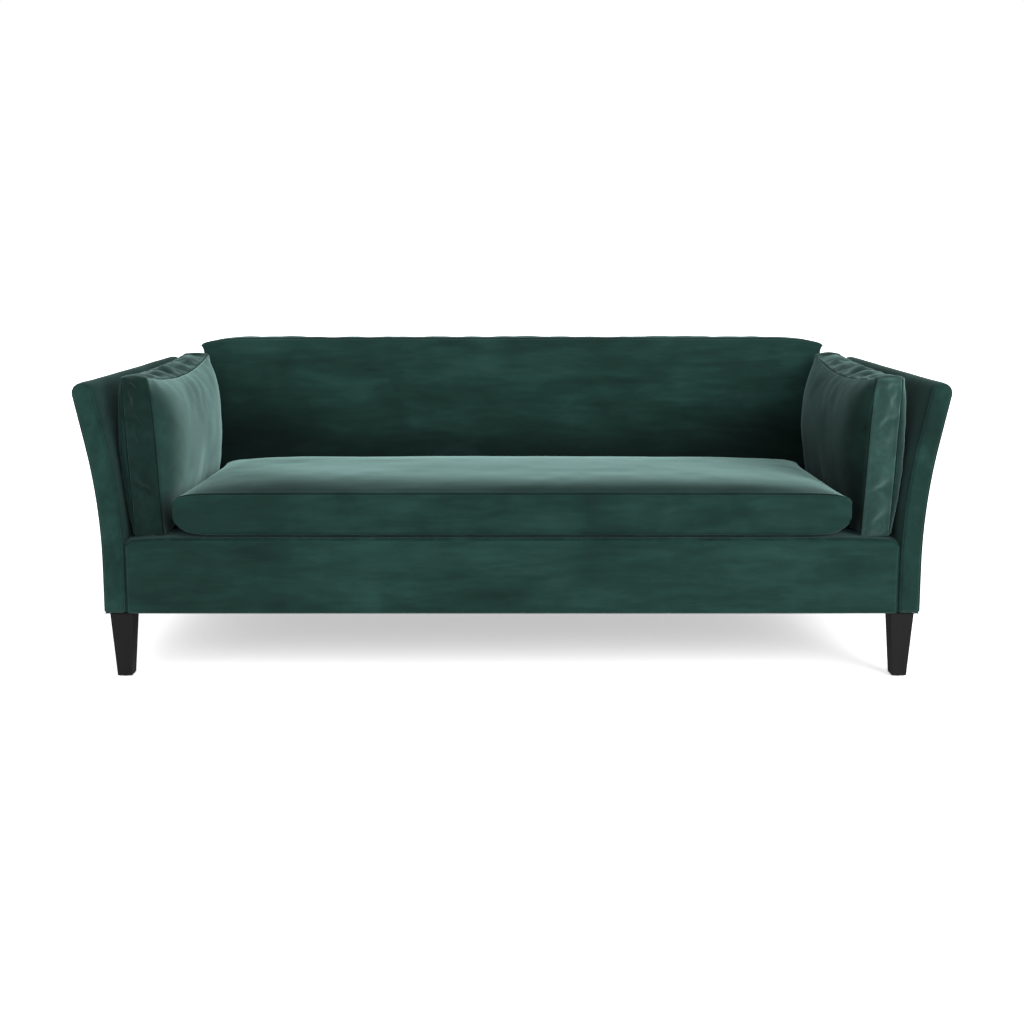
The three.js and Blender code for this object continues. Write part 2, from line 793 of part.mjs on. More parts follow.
// Where a boxed cushion's surface lies. u runs along it, v across it, each from -1 to 1; w is 1 on its
// upper panel, -1 on its lower one and in between on its border. inset moves the surface inwards.
// Between the corners the seams are drawn in by endDraw, lowDraw (v = -1) and highDraws (v = 1), and at
// the ends the panels draw together by pinches; such pairs give the lower panel's value first. A
// cushion that stands on its lower side has plain corners there.
function cushionSurface(spec, inset) {
  const halfLength = spec.length / 2 - inset;
  const halfWidth = spec.width / 2 - inset;
  const halfBorder = spec.border / 2 - inset;
  const radius = cushionCornerRadius - inset;
  return (u, v, w) => {
    const atEnd = Math.abs(u) ** spec.endPower;
    const toCorner = spec.stands ? Math.max(v, 0) : Math.abs(v);
    const upperShare = (w + 1) / 2;
    const between = ([lower, upper]) => lower + (upper - lower) * upperShare;
    const sideDraw = v > 0 ? between(spec.highDraws) : spec.lowDraw;
    const pinch = between(spec.pinches) * atEnd * toCorner ** spec.pinchPower;
    const endDraw = spec.endDraw * u ** drawPower * (1 - toCorner ** spec.earPower);
    let x = u * halfLength - endDraw - spec.taper * u * v;
    let y = v * halfWidth - sideDraw * v ** drawPower * (1 - atEnd);
    let z = w * (halfBorder - pinch);
    if (Math.abs(w) === 1) {
      const crown = w > 0 ? spec.upperCrown : spec.lowerCrown;
      const [powerAlong, powerAcross] = w > 0 ? spec.upperPowers : spec.lowerPowers;
      const across = w > 0 ? v : v - spec.lowerSkewShare * (1 - v * v);
      z += w * crown * (1 - Math.abs(u) ** powerAlong) * (1 - Math.abs(across) ** powerAcross);
    } else {
      if (Math.abs(v) === 1) y += v * spec.sideCrown * (1 - w * w) * (1 - atEnd);
      if (Math.abs(u) === 1) x += u * spec.endCrown * (1 - w * w) * (1 - v ** endBulgePower);
    }
    const cornerX = Math.abs(x) - (halfLength - radius);
    const cornerY = Math.abs(y) - (halfWidth - radius);
    if (cornerX > 0 && cornerY > 0) {
      const pull = 1 - Math.max(cornerX, cornerY) / Math.hypot(cornerX, cornerY);
      x -= Math.sign(x) * cornerX * pull;
      y -= Math.sign(y) * cornerY * pull;
    }
    const point = spec.place(x, y, z);
    point.z = Math.max(point.z, deckHeight + fitGap + inset);
    return point;
  };
}

// Grid lines from -1 to 1, closer together towards the ends, with one at each corner's tangent.
function gridLines(cells, half) {
  const edge = 1 - cushionCornerRadius / half;
  const steps = cells - 2;
  const inner = Array.from({ length: steps + 1 }, (_, k) => {
    return -edge * Math.cos((Math.PI * k) / steps);
  });
  return [-1, ...inner, 1];
}

function cushionGrid(spec) {
  const us = gridLines(spec.longCellCount, spec.length / 2);
  const vs = gridLines(spec.acrossCellCount, spec.width / 2);
  const rim = [
    ...us.slice(0, -1).map((u) => [u, -1]),
    ...vs.slice(0, -1).map((v) => [1, v]),
    ...us.slice(1).reverse().map((u) => [u, 1]),
    ...vs.slice(1).reverse().map((v) => [-1, v]),
  ];
  return { us, vs, rim };
}

// The zip's place in the border: the middle row of one long side, clear of the corners.
function zipCells(spec) {
  const sideStart = spec.zipSide < 0 ? 0 : spec.longCellCount + spec.acrossCellCount;
  const start = sideStart + zipEndCellCount;
  return { start, end: sideStart + spec.longCellCount - zipEndCellCount, row: 1 };
}

// The quads of a cushion's surface, facing outwards, without the zip's cells if it is open.
function surfaceQuads(spec, surface, open) {
  const { us, vs, rim } = cushionGrid(spec);
  const quads = [];
  for (let i = 0; i < us.length - 1; i++) {
    for (let j = 0; j < vs.length - 1; j++) {
      const cell = [
        [us[i], vs[j]],
        [us[i + 1], vs[j]],
        [us[i + 1], vs[j + 1]],
        [us[i], vs[j + 1]],
      ];
      quads.push(cell.map(([u, v]) => surface(u, v, 1)));
      quads.push(flipped(cell.map(([u, v]) => surface(u, v, -1))));
    }
  }
  const zip = zipCells(spec);
  for (let k = 0; k < rim.length; k++) {
    const [a, b] = [rim[k], rim[(k + 1) % rim.length]];
    for (let row = 0; row < borderRowShares.length - 1; row++) {
      if (open && row === zip.row && k >= zip.start && k < zip.end) continue;
      const [w0, w1] = [borderRowShares[row], borderRowShares[row + 1]];
      quads.push([surface(...a, w0), surface(...b, w0), surface(...b, w1), surface(...a, w1)]);
    }
  }
  return quads;
}

// The same quad facing the other way, still split along the same diagonal.
function flipped([a, b, c, d]) {
  return [a, d, c, b];
}

function solidOfQuads(quads) {
  const corners = quads.flatMap(([a, b, c, d]) => [a, b, c, a, c, d]);
  return solidOf(new THREE.BufferGeometry().setFromPoints(corners));
}

// A sewn cover: an outer and an inner surface, joined round the zip's opening.
function cushionCoverSolid(spec) {
  const outer = cushionSurface(spec, 0);
  const inner = cushionSurface(spec, cushionCover);
  const { rim } = cushionGrid(spec);
  const zip = zipCells(spec);
  const [w0, w1] = [borderRowShares[zip.row], borderRowShares[zip.row + 1]];
  const quads = [
    ...surfaceQuads(spec, outer, true),
    ...surfaceQuads(spec, inner, true).map(flipped),
  ];
  const edge = (p, q, wp, wq) =>
    quads.push([outer(...p, wp), outer(...q, wq), inner(...q, wq), inner(...p, wp)]);
  for (let k = zip.start; k < zip.end; k++) {
    edge(rim[k], rim[k + 1], w0, w0);
    edge(rim[k + 1], rim[k], w1, w1);
  }
  edge(rim[zip.end], rim[zip.end], w0, w1);
  edge(rim[zip.start], rim[zip.start], w1, w0);
  return solidOfQuads(quads);
}

function cushionCore(spec) {
  return solidOfQuads(surfaceQuads(spec, cushionSurface(spec, cushionCover + coreGap), false));
}

// The zip's tape, which fills the opening in the cover.
function cushionZip(spec) {
  const outer = cushionSurface(spec, 0);
  const inner = cushionSurface(spec, cushionCover);
  const { rim } = cushionGrid(spec);
  const zip = zipCells(spec);
  const endGap = fitGap / (spec.length / 2);
  const rowGap = fitGap / (spec.border / 2);
  const w0 = borderRowShares[zip.row] + rowGap;
  const w1 = borderRowShares[zip.row + 1] - rowGap;
  const line = rim.slice(zip.start, zip.end + 1).map(([u, v]) => [u, v]);
  const heading = Math.sign(line.at(-1)[0] - line[0][0]);
  line[0][0] += heading * endGap;
  line.at(-1)[0] -= heading * endGap;
  const quads = [];
  for (let k = 0; k < line.length - 1; k++) {
    const [a, b] = [line[k], line[k + 1]];
    const [oa0, ob0, ob1, oa1] = [outer(...a, w0), outer(...b, w0), outer(...b, w1), outer(...a, w1)];
    const [ia0, ib0, ib1, ia1] = [inner(...a, w0), inner(...b, w0), inner(...b, w1), inner(...a, w1)];
    quads.push([oa0, ob0, ob1, oa1], flipped([ia0, ib0, ib1, ia1]));
    quads.push([ob0, oa0, ia0, ib0], [oa1, ob1, ib1, ia1]);
    if (k === 0) quads.push([oa0, oa1, ia1, ia0]);
    if (k === line.length - 2) quads.push([ob1, ob0, ib0, ib1]);
  }
  return solidOfQuads(quads);
}

// The back cushion stands on the platform and leans on the back's inside face.
const up = new THREE.Vector3(0, Math.sin(insideRake), Math.cos(insideRake));
const forward = new THREE.Vector3(0, -Math.cos(insideRake), Math.sin(insideRake));
const backCushionHalfLength = armInnerBase - backCushionEndClearance;
const backCushionBehind = fitGap + backCushionRearCrown; // from the back's face to the rear seams
const backCushionFoot = new THREE.Vector3(0, backInsideY(deckHeight), deckHeight);
const backCushionRise =
  (fitGap - (backCushionBehind + backCushionBorder) * Math.sin(insideRake)) / Math.cos(insideRake);
const backCushionMiddle = backCushionFoot
  .clone()
  .addScaledVector(up, backCushionHeight / 2 + backCushionRise)
  .addScaledVector(forward, backCushionBehind + backCushionBorder / 2);

const backCushion = {
  length: backCushionHalfLength * 2,
  width: backCushionHeight,
  border: backCushionBorder,
  upperCrown: backCushionFrontCrown,
  upperPowers: crownPowers,
  lowerCrown: backCushionRearCrown,
  lowerPowers: restingPowers,
  lowerSkewShare: 0,
  sideCrown: backCushionSideCrown,
  endCrown: backCushionEndCrown,
  endDraw: backCushionEndDraw,
  taper: 0,
  lowDraw: 0,
  highDraws: [-backCushionTopRise, -backCushionTopRise],
  pinches: [backCushionPinch, backCushionPinch],
  endPower: backCushionEndPower,
  stands: true,
  earPower: backCushionEarPower,
  pinchPower,
  longCellCount: 14,
  acrossCellCount: 6,
  zipSide: -1,
  place: (x, y, z) =>
    new THREE.Vector3(x, 0, 0)
      .add(backCushionMiddle)
      .addScaledVector(up, y)
      .addScaledVector(forward, z),
};

// How far in front of the back's inside face the back cushion reaches, measured level, where its
// front crown has the height given
const backCushionReach = (crown) =>
  (backCushionBehind + backCushionBorder + crown) / Math.cos(insideRake);

// The right arm cushion stands on the platform and leans outwards.
const armCushionInner = armInnerBase - armCushionClearance - armCushionBorder;
const armCushionFrontY = frontY + armCushionFrontInset;
const endShare = armCushionInner / backCushionHalfLength;
const backCrownAtArmCushion = backCushionFrontCrown * (1 - endShare ** crownPowers[0]);
const armCushionRearY =
  backInsideY(deckHeight) -
  backCushionReach(backCrownAtArmCushion) -
  armCushionRearClearance -
  armCushionEndCrown;
const armCushionLength = armCushionRearY - armCushionFrontY;

const armCushion = {
  length: armCushionLength,
  width: armCushionHeight,
  border: armCushionBorder,
  upperCrown: armCushionOuterCrown,
  upperPowers: besideArmPowers,
  lowerCrown: armCushionInnerCrown,
  lowerPowers: crownPowers,
  lowerSkewShare: armCushionInnerSkewShare,
  sideCrown: armCushionSideCrown,
  endCrown: armCushionEndCrown,
  endDraw: armCushionEndDraw,
  taper: 0,
  lowDraw: 0,
  highDraws: armCushionTopSags,
  pinches: [armCushionPinch, armCushionPinch],
  endPower: armCushionEndPower,
  stands: true,
  earPower,
  pinchPower,
  longCellCount: 10,
  acrossCellCount: 8,
  zipSide: -1,
  place: (x, y, z) => {
    const along = (x + armCushionLength / 2) / armCushionLength;
    const rise = 1 + (armCushionRearRise * along) / armCushionHeight;
    const height = (y + armCushionHeight / 2) * rise;
    const lean = Math.tan(armCushionLeanFront + (armCushionLeanRear - armCushionLeanFront) * along);
    const rear = armCushionRearY + height * tanInside;
    return new THREE.Vector3(
      armCushionInner + armCushionBorder / 2 + z + lean * height - armCushionToeIn * along,
      armCushionFrontY + along * (rear - armCushionFrontY),
      deckHeight + fitGap + height,
    );
  },
};

// The seat cushion lies between the arm cushions, in front of the back cushion.
const seatHalfLength = armCushionInner - seatEndClearance;
const seatFrontY = frontY + seatFrontInset + seatSideCrown;
const seatSeamHeight = deckHeight + fitGap + seatLowerCrown + seatBorder;
const seatRearY =
  backInsideY(seatSeamHeight) -
  backCushionReach(backCushionFrontCrown) -
  seatRearClearance -
  seatSideCrown;
const seatWidth = seatRearY - seatFrontY;

const seatCushion = {
  length: seatHalfLength * 2,
  width: seatWidth,
  border: seatBorder,
  upperCrown: seatUpperCrown,
  upperPowers: crownPowers,
  lowerCrown: seatLowerCrown,
  lowerPowers: restingPowers,
  lowerSkewShare: 0,
  sideCrown: seatSideCrown,
  endCrown: seatEndCrown,
  endDraw: seatEndDraw,
  taper: seatTaper,
  lowDraw: seatSideDraw,
  highDraws: [seatSideDraw, seatSideDraw],
  pinches: seatPinches,
  endPower: seatEndPower,
  stands: false,
  earPower,
  pinchPower: 0,
  longCellCount: 14,
  acrossCellCount: 8,
  zipSide: 1,
  place: (x, y, z) =>
    new THREE.Vector3(
      x,
      (seatFrontY + seatRearY) / 2 + y,
      deckHeight + fitGap + seatLowerCrown + seatBorder / 2 + z,
    ),
};

// Colours and finishes

const velvet = { color: 0x274640, roughness: 0.85, metalness: 0 };
const liningCloth = { color: 0x20302d, roughness: 0.95, metalness: 0 };
const foam = { color: 0xd9cfae, roughness: 0.95, metalness: 0 };
const timber = { color: 0xb98f5e, roughness: 0.7, metalness: 0 };
const blackWood = { color: 0x161514, roughness: 0.45, metalness: 0 };
const steel = { color: 0x8d9094, roughness: 0.35, metalness: 1 };
const nylon = { color: 0x1b1b1c, roughness: 0.5, metalness: 0 };
const elastic = { color: 0x2f2c2a, roughness: 0.9, metalness: 0 };

const sofa = new THREE.Group();

function add(name, solid, finish) {
  const mesh = new THREE.Mesh(geometryOf(solid), new THREE.MeshStandardMaterial(finish));
  mesh.name = name;
  sofa.add(mesh);
  return mesh;
}

// The solid on the right, and its mirror image on the left.
function addPair(name, solid, finish) {
  add(`right_${name}`, solid, finish);
  add(`left_${name}`, solid, finish).scale.x = -1;
}

addPair("arm_cover", armCover(), velvet);
addPair("arm_pad", armPad(), foam);
addPair("arm_front_post", armFrontPost(), timber);
addPair("arm_rear_post", armRearPost(), timber);
addPair("arm_top_rail", armTopRail(), timber);
addPair("side_rail", sideRail(), timber);

add("back_cover", backCover(), velvet);
add("back_pad", backPad(), foam);
addPair("back_post", backPostSolid(0), timber);
add("back_top_rail", backTopRail(), timber);
add("back_lower_rail", backLowerRail(), timber);
add("back_centre_post", backCentrePost(), timber);
add("back_webbing", backWebbing(), elastic);

add("front_rail_cover", frontRailCover(), velvet);
add("front_rail_pad", frontRailPad(), foam);
add("front_rail", frontRail(), timber);
add("rear_rail", rearRail(), timber);
add("left_cross_rail", crossRail(-crossRailSpacing / 2), timber);
add("right_cross_rail", crossRail(crossRailSpacing / 2), timber);
addPair("front_corner_block", cornerBlock(frontRailBack, 1, frontCorner), timber);
addPair("rear_corner_block", cornerBlock(rearRailFront, -1, rearCorner), timber);
add("deck_cover", deckCover(), liningCloth);
add("deck_pad", deckPad(), foam);
add("front_clip_rail", clipRail(frontClipMiddle, 1), steel);
add("rear_clip_rail", clipRail(rearClipMiddle, -1), steel);
add("seat_springs", springUnit(), steel);
add("dust_cover", dustCover(), liningCloth);

for (const [place, corner] of [
  ["front", frontCorner],
  ["rear", rearCorner],
]) {
  addPair(`${place}_leg`, leg(corner), blackWood);
  addPair(`${place}_leg_bolt`, legBolt(corner), steel);
  addPair(`${place}_glider`, glider(corner), nylon);
}

add("seat_cushion_cover", cushionCoverSolid(seatCushion), velvet);
add("seat_cushion_core", cushionCore(seatCushion), foam);
add("seat_cushion_zip", cushionZip(seatCushion), nylon);
add("back_cushion_cover", cushionCoverSolid(backCushion), velvet);
add("back_cushion_core", cushionCore(backCushion), foam);
add("back_cushion_zip", cushionZip(backCushion), nylon);
addPair("arm_cushion_cover", cushionCoverSolid(armCushion), velvet);
addPair("arm_cushion_core", cushionCore(armCushion), foam);
addPair("arm_cushion_zip", cushionZip(armCushion), nylon);

export default sofa;
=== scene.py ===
import math

import bpy
import numpy as np
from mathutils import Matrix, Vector


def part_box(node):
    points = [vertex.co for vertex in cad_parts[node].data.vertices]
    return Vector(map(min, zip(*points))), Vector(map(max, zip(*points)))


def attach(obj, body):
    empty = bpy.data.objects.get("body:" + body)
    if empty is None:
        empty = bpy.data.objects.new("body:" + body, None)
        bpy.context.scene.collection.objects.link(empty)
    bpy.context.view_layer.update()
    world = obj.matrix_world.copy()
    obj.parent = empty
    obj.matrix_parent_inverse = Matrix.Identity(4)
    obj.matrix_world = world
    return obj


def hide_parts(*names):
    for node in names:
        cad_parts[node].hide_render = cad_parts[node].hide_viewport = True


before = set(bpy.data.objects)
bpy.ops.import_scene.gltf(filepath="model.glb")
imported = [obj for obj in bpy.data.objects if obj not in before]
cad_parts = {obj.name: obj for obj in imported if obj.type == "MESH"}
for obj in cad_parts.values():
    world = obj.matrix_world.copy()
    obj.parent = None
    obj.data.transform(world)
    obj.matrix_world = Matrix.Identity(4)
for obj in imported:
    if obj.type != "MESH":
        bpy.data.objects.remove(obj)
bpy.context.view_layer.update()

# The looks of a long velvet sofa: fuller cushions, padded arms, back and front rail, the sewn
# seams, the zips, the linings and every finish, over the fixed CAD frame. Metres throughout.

# Sizes of the frame, as in the part
HALF_BASE = 1.018
FRONT, REAR = -0.430, 0.430
TOP = 0.745
LEG = 0.167
DECK = 0.358
ARM = 0.054
ARM_RADIUS = 0.025
FLARE_START = 0.285
FLARE_STRAIGHT = 0.150
FLARE = math.radians(12)
FLARE_RADIUS = (TOP - FLARE_STRAIGHT - FLARE_START) / math.sin(FLARE)
BACK = 0.054
BACK_RADIUS = 0.024
RAKE = math.radians(12)
TAN_IN = math.tan(RAKE)
TAN_OUT = math.tan(math.radians(5))
LAYERS = 0.0146
GAP = 0.0003
LIP = 0.120


def inside_y(z):
    return REAR - BACK - (TOP - z) * TAN_IN


def outside_y(z):
    return REAR - (TOP - z) * TAN_OUT


def arm_x(into, z):
    """The arm's width at height z, on the line that runs "into" inside its outer face."""
    radius = FLARE_RADIUS + into
    centre = HALF_BASE + FLARE_RADIUS
    z0, z1 = FLARE_START, FLARE_START + radius * math.sin(FLARE)
    if z < z0:
        return centre - radius
    if z < z1:
        return centre - math.sqrt(radius**2 - (z - z0) ** 2)
    return centre - radius * math.cos(FLARE) + (z - z1) * math.tan(FLARE)


# Helpers for shapes


def smooth(x):
    x = np.clip(x, 0.0, 1.0)
    return x * x * (3 - 2 * x)


def lattice(cell, seed):
    """A repeatable number from -1 to 1 for each corner of the noise's lattice."""
    a = cell.astype(np.int64)
    h = a[..., 0] * 374761393 + a[..., 1] * 668265263 + a[..., 2] * 2147483647 + seed * 974711
    h = (h ^ (h >> 13)) * 1274126177
    h = h & 0x7FFFFFFF
    h = (h ^ (h >> 15)) * 2246822519
    return ((h >> 7) & 0xFFFF) / 32767.5 - 1


def ripple(points, size, seed):
    """Smooth noise in -1 to 1 at each point, with features of about the size given."""
    p = np.asarray(points, float) / np.asarray(size, float) + 91.7
    cell = np.floor(p)
    f = p - cell
    f = f * f * f * (f * (f * 6 - 15) + 10)
    total = np.zeros(p.shape[:-1])
    for step in np.ndindex(2, 2, 2):
        part = lattice(cell + step, seed)
        for axis in range(3):
            part = part * (f[..., axis] if step[axis] else 1 - f[..., axis])
        total += part
    return total


def dip(end, *steps):
    """How far a padded face falls off, "end" metres from its end: steps of (depth, reach)."""
    return sum(depth * (1 - smooth(end / reach)) for depth, reach in steps)


STEPS = 7


def outline(corners):
    """Rounds a closed outline. A corner is (a, b, radius, points on the edge that follows)."""
    fillets = []
    count = len(corners)
    for i, (a, b, radius, _) in enumerate(corners):
        here = np.array([a, b])
        if radius <= 0:
            fillets.append([here])
            continue
        back = np.array(corners[i - 1][:2]) - here
        on = np.array(corners[(i + 1) % count][:2]) - here
        back /= np.linalg.norm(back)
        on /= np.linalg.norm(on)
        half = math.acos(np.clip(back @ on, -1, 1)) / 2
        middle = here + (back + on) / np.linalg.norm(back + on) * radius / math.sin(half)
        first = here + back * radius / math.tan(half) - middle
        last = here + on * radius / math.tan(half) - middle
        turn = math.atan2(first[0] * last[1] - first[1] * last[0], first @ last)
        arc = []
        for k in range(STEPS + 1):
            c, s = math.cos(turn * k / STEPS), math.sin(turn * k / STEPS)
            spoke = (first[0] * c - first[1] * s, first[0] * s + first[1] * c)
            arc.append(middle + spoke)
        fillets.append(arc)
    points = []
    for i, arc in enumerate(fillets):
        points += arc
        end, start, extra = arc[-1], fillets[(i + 1) % count][0], corners[i][3]
        points += [end + (start - end) * (k + 1) / (extra + 1) for k in range(extra)]
    return np.array(points)


def add_object(name, data):
    added = bpy.data.objects.new(name, data)
    bpy.context.scene.collection.objects.link(added)
    return added


def new_mesh(name, points, faces, finish, body, smooth_faces=True):
    mesh = bpy.data.meshes.new(name)
    mesh.from_pydata([tuple(p) for p in points], [], faces)
    mesh.validate()
    mesh.update()
    if smooth_faces:
        mesh.polygons.foreach_set("use_smooth", [True] * len(mesh.polygons))
    piece = add_object(name, mesh)
    mesh.materials.append(finish)
    if body:
        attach(piece, body)
    return piece


def of_vertices(mesh, kind):
    data = np.empty(len(mesh.vertices) * 3)
    mesh.vertices.foreach_get(kind, data)
    return data.reshape(-1, 3)


def coordinates(piece):
    return of_vertices(piece.data, "co")


def move(piece, points):
    piece.data.vertices.foreach_set("co", np.asarray(points).reshape(-1))
    piece.data.update()


def puff(piece, distance):
    """Moves each vertex along its normal."""
    out = of_vertices(piece.data, "normal")
    move(piece, coordinates(piece) + out * np.asarray(distance)[:, None])


def unevenness(piece, seed, *waves):
    """How far each vertex of a padded piece stands out, from waves of (height, size)."""
    p = coordinates(piece)
    return sum(height * ripple(p, size, seed + k) for k, (height, size) in enumerate(waves))


def refinish(piece, finish, where):
    """Gives a second finish to the faces whose middles fit the rule."""
    p = coordinates(piece)
    middles = [p[list(face.vertices)].mean(axis=0) for face in piece.data.polygons]
    piece.data.materials.append(finish)
    piece.data.polygons.foreach_set("material_index", [int(where(*m)) for m in middles])


def subdivide(piece):
    fine = piece.modifiers.new("fine", "SUBSURF")
    fine.levels = fine.render_levels = 1


def dressed(piece, slot, *nodes, fill):
    """Hides the CAD nodes that a padded piece stands for. Its slot and fill are not used."""
    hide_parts(*nodes)


def quads(rows, columns):
    """The faces of a grid of points, each as the four numbers of its points."""
    for j in range(rows - 1):
        for a in range(j * columns, (j + 1) * columns - 1):
            yield a, a + 1, a + 1 + columns, a + columns


def rim_of(ni, nj):
    """The places (i, j) round the edge of a grid of points."""
    rim = [(i, 0) for i in range(ni - 1)] + [(ni - 1, j) for j in range(nj - 1)]
    rim += [(i, nj - 1) for i in range(ni - 1, 0, -1)] + [(0, j) for j in range(nj - 1, 0, -1)]
    return rim


def around_rings(count, size):
    """The faces between equal closed rings."""
    for j in range(count - 1):
        for i in range(size):
            k = (i + 1) % size
            yield j * size + i, j * size + k, (j + 1) * size + k, (j + 1) * size + i


def loft(rings):
    """Faces between equal closed rings, with each end closed across its middle."""
    count, size = len(rings), len(rings[0])
    faces = list(around_rings(count, size))
    for start, order in ((0, 1), ((count - 1) * size, -1)):
        for i in range(size // 2 - 1):
            quad = (start + i, start + size - 1 - i, start + size - 2 - i, start + i + 1)
            faces.append(quad[::order])
    return np.concatenate(rings), faces


def tube(rings):
    """Faces between equal closed rings, with one face across each end."""
    count, size = len(rings), len(rings[0])
    faces = [(a, d, c, b) for a, b, c, d in around_rings(count, size)]
    faces.append(tuple(range(size)))
    faces.append(tuple(reversed(range((count - 1) * size, count * size))))
    return np.concatenate(rings), faces


def mirrored(points, faces):
    return points * (-1, 1, 1), [face[::-1] for face in faces]


# Finishes


def linear(r, g, b):
    def one(c):
        c /= 255
        return c / 12.92 if c <= 0.04045 else ((c + 0.055) / 1.055) ** 2.4

    return tuple(one(c) for c in (r, g, b))


class Tree:
    """A node tree in the making, with short words for the nodes that it is built from."""

    def __init__(self, tree):
        self.nodes, self.links = tree.nodes, tree.links

    def fill(self, node, inputs):
        """Gives a node its inputs. A socket is linked, and any other value is set."""
        for name, value in inputs.items():
            socket = node.inputs[name.replace("_", " ") if isinstance(name, str) else name]
            if isinstance(value, bpy.types.NodeSocket):
                self.links.new(value, socket)
            else:
                socket.default_value = value
        return node

    def add(self, kind, output=0, **inputs):
        return self.fill(self.nodes.new("ShaderNode" + kind), inputs).outputs[output]

    def place(self):
        return self.add("TexCoord", "Object")

    def noise(self, vector, scale, detail, rough=0.5, distortion=0.0):
        return self.add(
            "TexNoise", "Fac", Vector=vector,
            Scale=scale, Detail=detail, Roughness=rough, Distortion=distortion,
        )

    def stretch(self, vector, scale):
        return self.add("Mapping", "Vector", Vector=vector, Scale=scale)

    def ramp(self, value, stops):
        r = self.nodes.new("ShaderNodeValToRGB")
        elements = r.color_ramp.elements
        while len(elements) < len(stops):
            elements.new(0.5)
        for e, (position, colour) in zip(elements, stops):
            e.position = position
            e.color = (*colour, 1)
        return self.fill(r, {"Fac": value}).outputs["Color"]

    def maths(self, kind, *values):
        m = self.nodes.new("ShaderNodeMath")
        m.operation = kind
        return self.fill(m, dict(enumerate(values))).outputs[0]

    def mixed(self, *shares):
        """The sum of some values, each as (value, share)."""
        total = 0.0
        for value, share in shares:
            total = self.maths("MULTIPLY_ADD", value, share, total)
        return total

    def soft_step(self, value, low, high, first, last):
        step = self.nodes.new("ShaderNodeMapRange")
        step.interpolation_type = "SMOOTHSTEP"
        ends = {"Value": value, "From Min": low, "From Max": high, "To Min": first, "To Max": last}
        return self.fill(step, ends).outputs["Result"]

    def bump(self, height, strength, distance, **under):
        return self.add("Bump", Height=height, Strength=strength, Distance=distance, **under)


class Finish(Tree):
    """A material and its tree."""

    def __init__(self, name):
        self.material = bpy.data.materials.new(name)
        self.material.use_nodes = True
        super().__init__(self.material.node_tree)

    def give(self, **inputs):
        self.fill(self.nodes["Principled BSDF"], inputs)
        return self.material


PILE_TONES = ((13, 38, 33), (21, 50, 44), (32, 64, 58))
PILE_STOPS = (0.36, 0.5, 0.64)
PILE_SHEEN = (0.62, 1.0, 0.95, 1)
# Painted shade: between these distances in x it rises towards the ends.
PAINTED_SHADE_ENDS = (0.35, 0.85)


def painted_shade_factor(f, place, painted_shade):
    """How much of the colour the painted shade leaves, from a share up to 1."""
    axis, low, high, share, rise, side = painted_shade
    end = f.maths("MULTIPLY", f.add("SeparateXYZ", "X", Vector=place), side)
    if side > 0:
        end = f.maths("ABSOLUTE", end, 0.0)
    end = f.soft_step(end, *PAINTED_SHADE_ENDS, 0.0, rise)
    along = f.maths("SUBTRACT", f.add("SeparateXYZ", axis, Vector=place), end)
    return f.soft_step(along, low, high, share, 1.0)


def velvet(name, along, shade=1.0, sheen=1.0, spread=0.40, painted_shade=None):
    """Short-pile velvet. The pile lies in short streaks that run along one direction.

    The panels are lighter and darker copies of one velvet, set by their shade: painted light and
    shade. They differ too in how far the pile's gloss spreads from the edge-on view. Painted shade,
    given as (axis, first, last, share, rise, x scale), darkens colour and gloss where shade falls,
    between two places along one axis, which move by the rise towards both ends, or towards the
    left one where the x scale is -1.
    """
    tones = [[shade * c for c in linear(*tone)] for tone in PILE_TONES]
    f = Finish(name)
    place = f.place()
    streaks = f.noise(f.stretch(place, along), 15, 5.0, 0.62, 0.25)
    clouds = f.noise(place, 4.2, 3.0, 0.55, 0.6)
    fine = f.noise(f.stretch(place, along), 60, 3.0, 0.6)
    mixed = f.mixed((streaks, 0.5), (clouds, 0.34), (fine, 0.16))
    colour = f.ramp(mixed, list(zip(PILE_STOPS, tones)))
    gloss = sheen
    # Painted shade: colour and gloss scaled down where shade falls.
    if painted_shade:
        shade_factor = painted_shade_factor(f, place, painted_shade)
        darker = f.nodes.new("ShaderNodeVectorMath")
        darker.operation = "SCALE"
        colour = f.fill(darker, {0: colour, "Scale": shade_factor}).outputs[0]
        gloss = f.maths("MULTIPLY", shade_factor, sheen)
    pile = f.noise(place, 900, 2.0, 0.7)
    f.material.diffuse_color = (*(shade * c for c in linear(27, 57, 50)), 1)
    return f.give(
        Base_Color=colour, Sheen_Weight=gloss,
        Normal=f.bump(mixed, 0.25, 0.004, Normal=f.bump(pile, 0.35, 0.0006)),
        Roughness=0.86, Specular_IOR_Level=0.12, Sheen_Roughness=spread, Sheen_Tint=PILE_SHEEN,
    )


ROWS, SIDEWAYS = (0.22, 1.0, 1.0), (1.0, 0.5, 0.8)
# The faces along each seam: the thread, with painted shade for the sunk groove.
SEAM = velvet("velvet_seam", ROWS, shade=0.30, sheen=0.12)
VELVET = velvet("velvet_rows", ROWS)
# The back cushion's top border, darker and with less sheen: painted shade over its lit rim.
VELVET_TOP = velvet("velvet_top", ROWS, shade=0.9, sheen=0.38)
# The seat's top: painted shade at the front, reaching further back on the left.
VELVET_SEAT = velvet(
    "velvet_seat", ROWS, shade=0.9, spread=0.33, painted_shade=("Y", -0.50, -0.25, 0.56, 0.30, -1)
)
# The seat's border: painted shade along its lowest rows, over the rail.
VELVET_FRONT = velvet(
    "velvet_front", ROWS, shade=0.9, sheen=0.9, painted_shade=("Z", 0.358, 0.376, 0.45, 0.0, 1)
)
# The back cushion's front: painted shade low down by the seat, rising towards the ends.
VELVET_BACK = velvet("velvet_back", ROWS, sheen=0.95, painted_shade=("Z", 0.44, 0.64, 0.33, 0.10, 1))
VELVET_SIDE = velvet("velvet_side", SIDEWAYS)
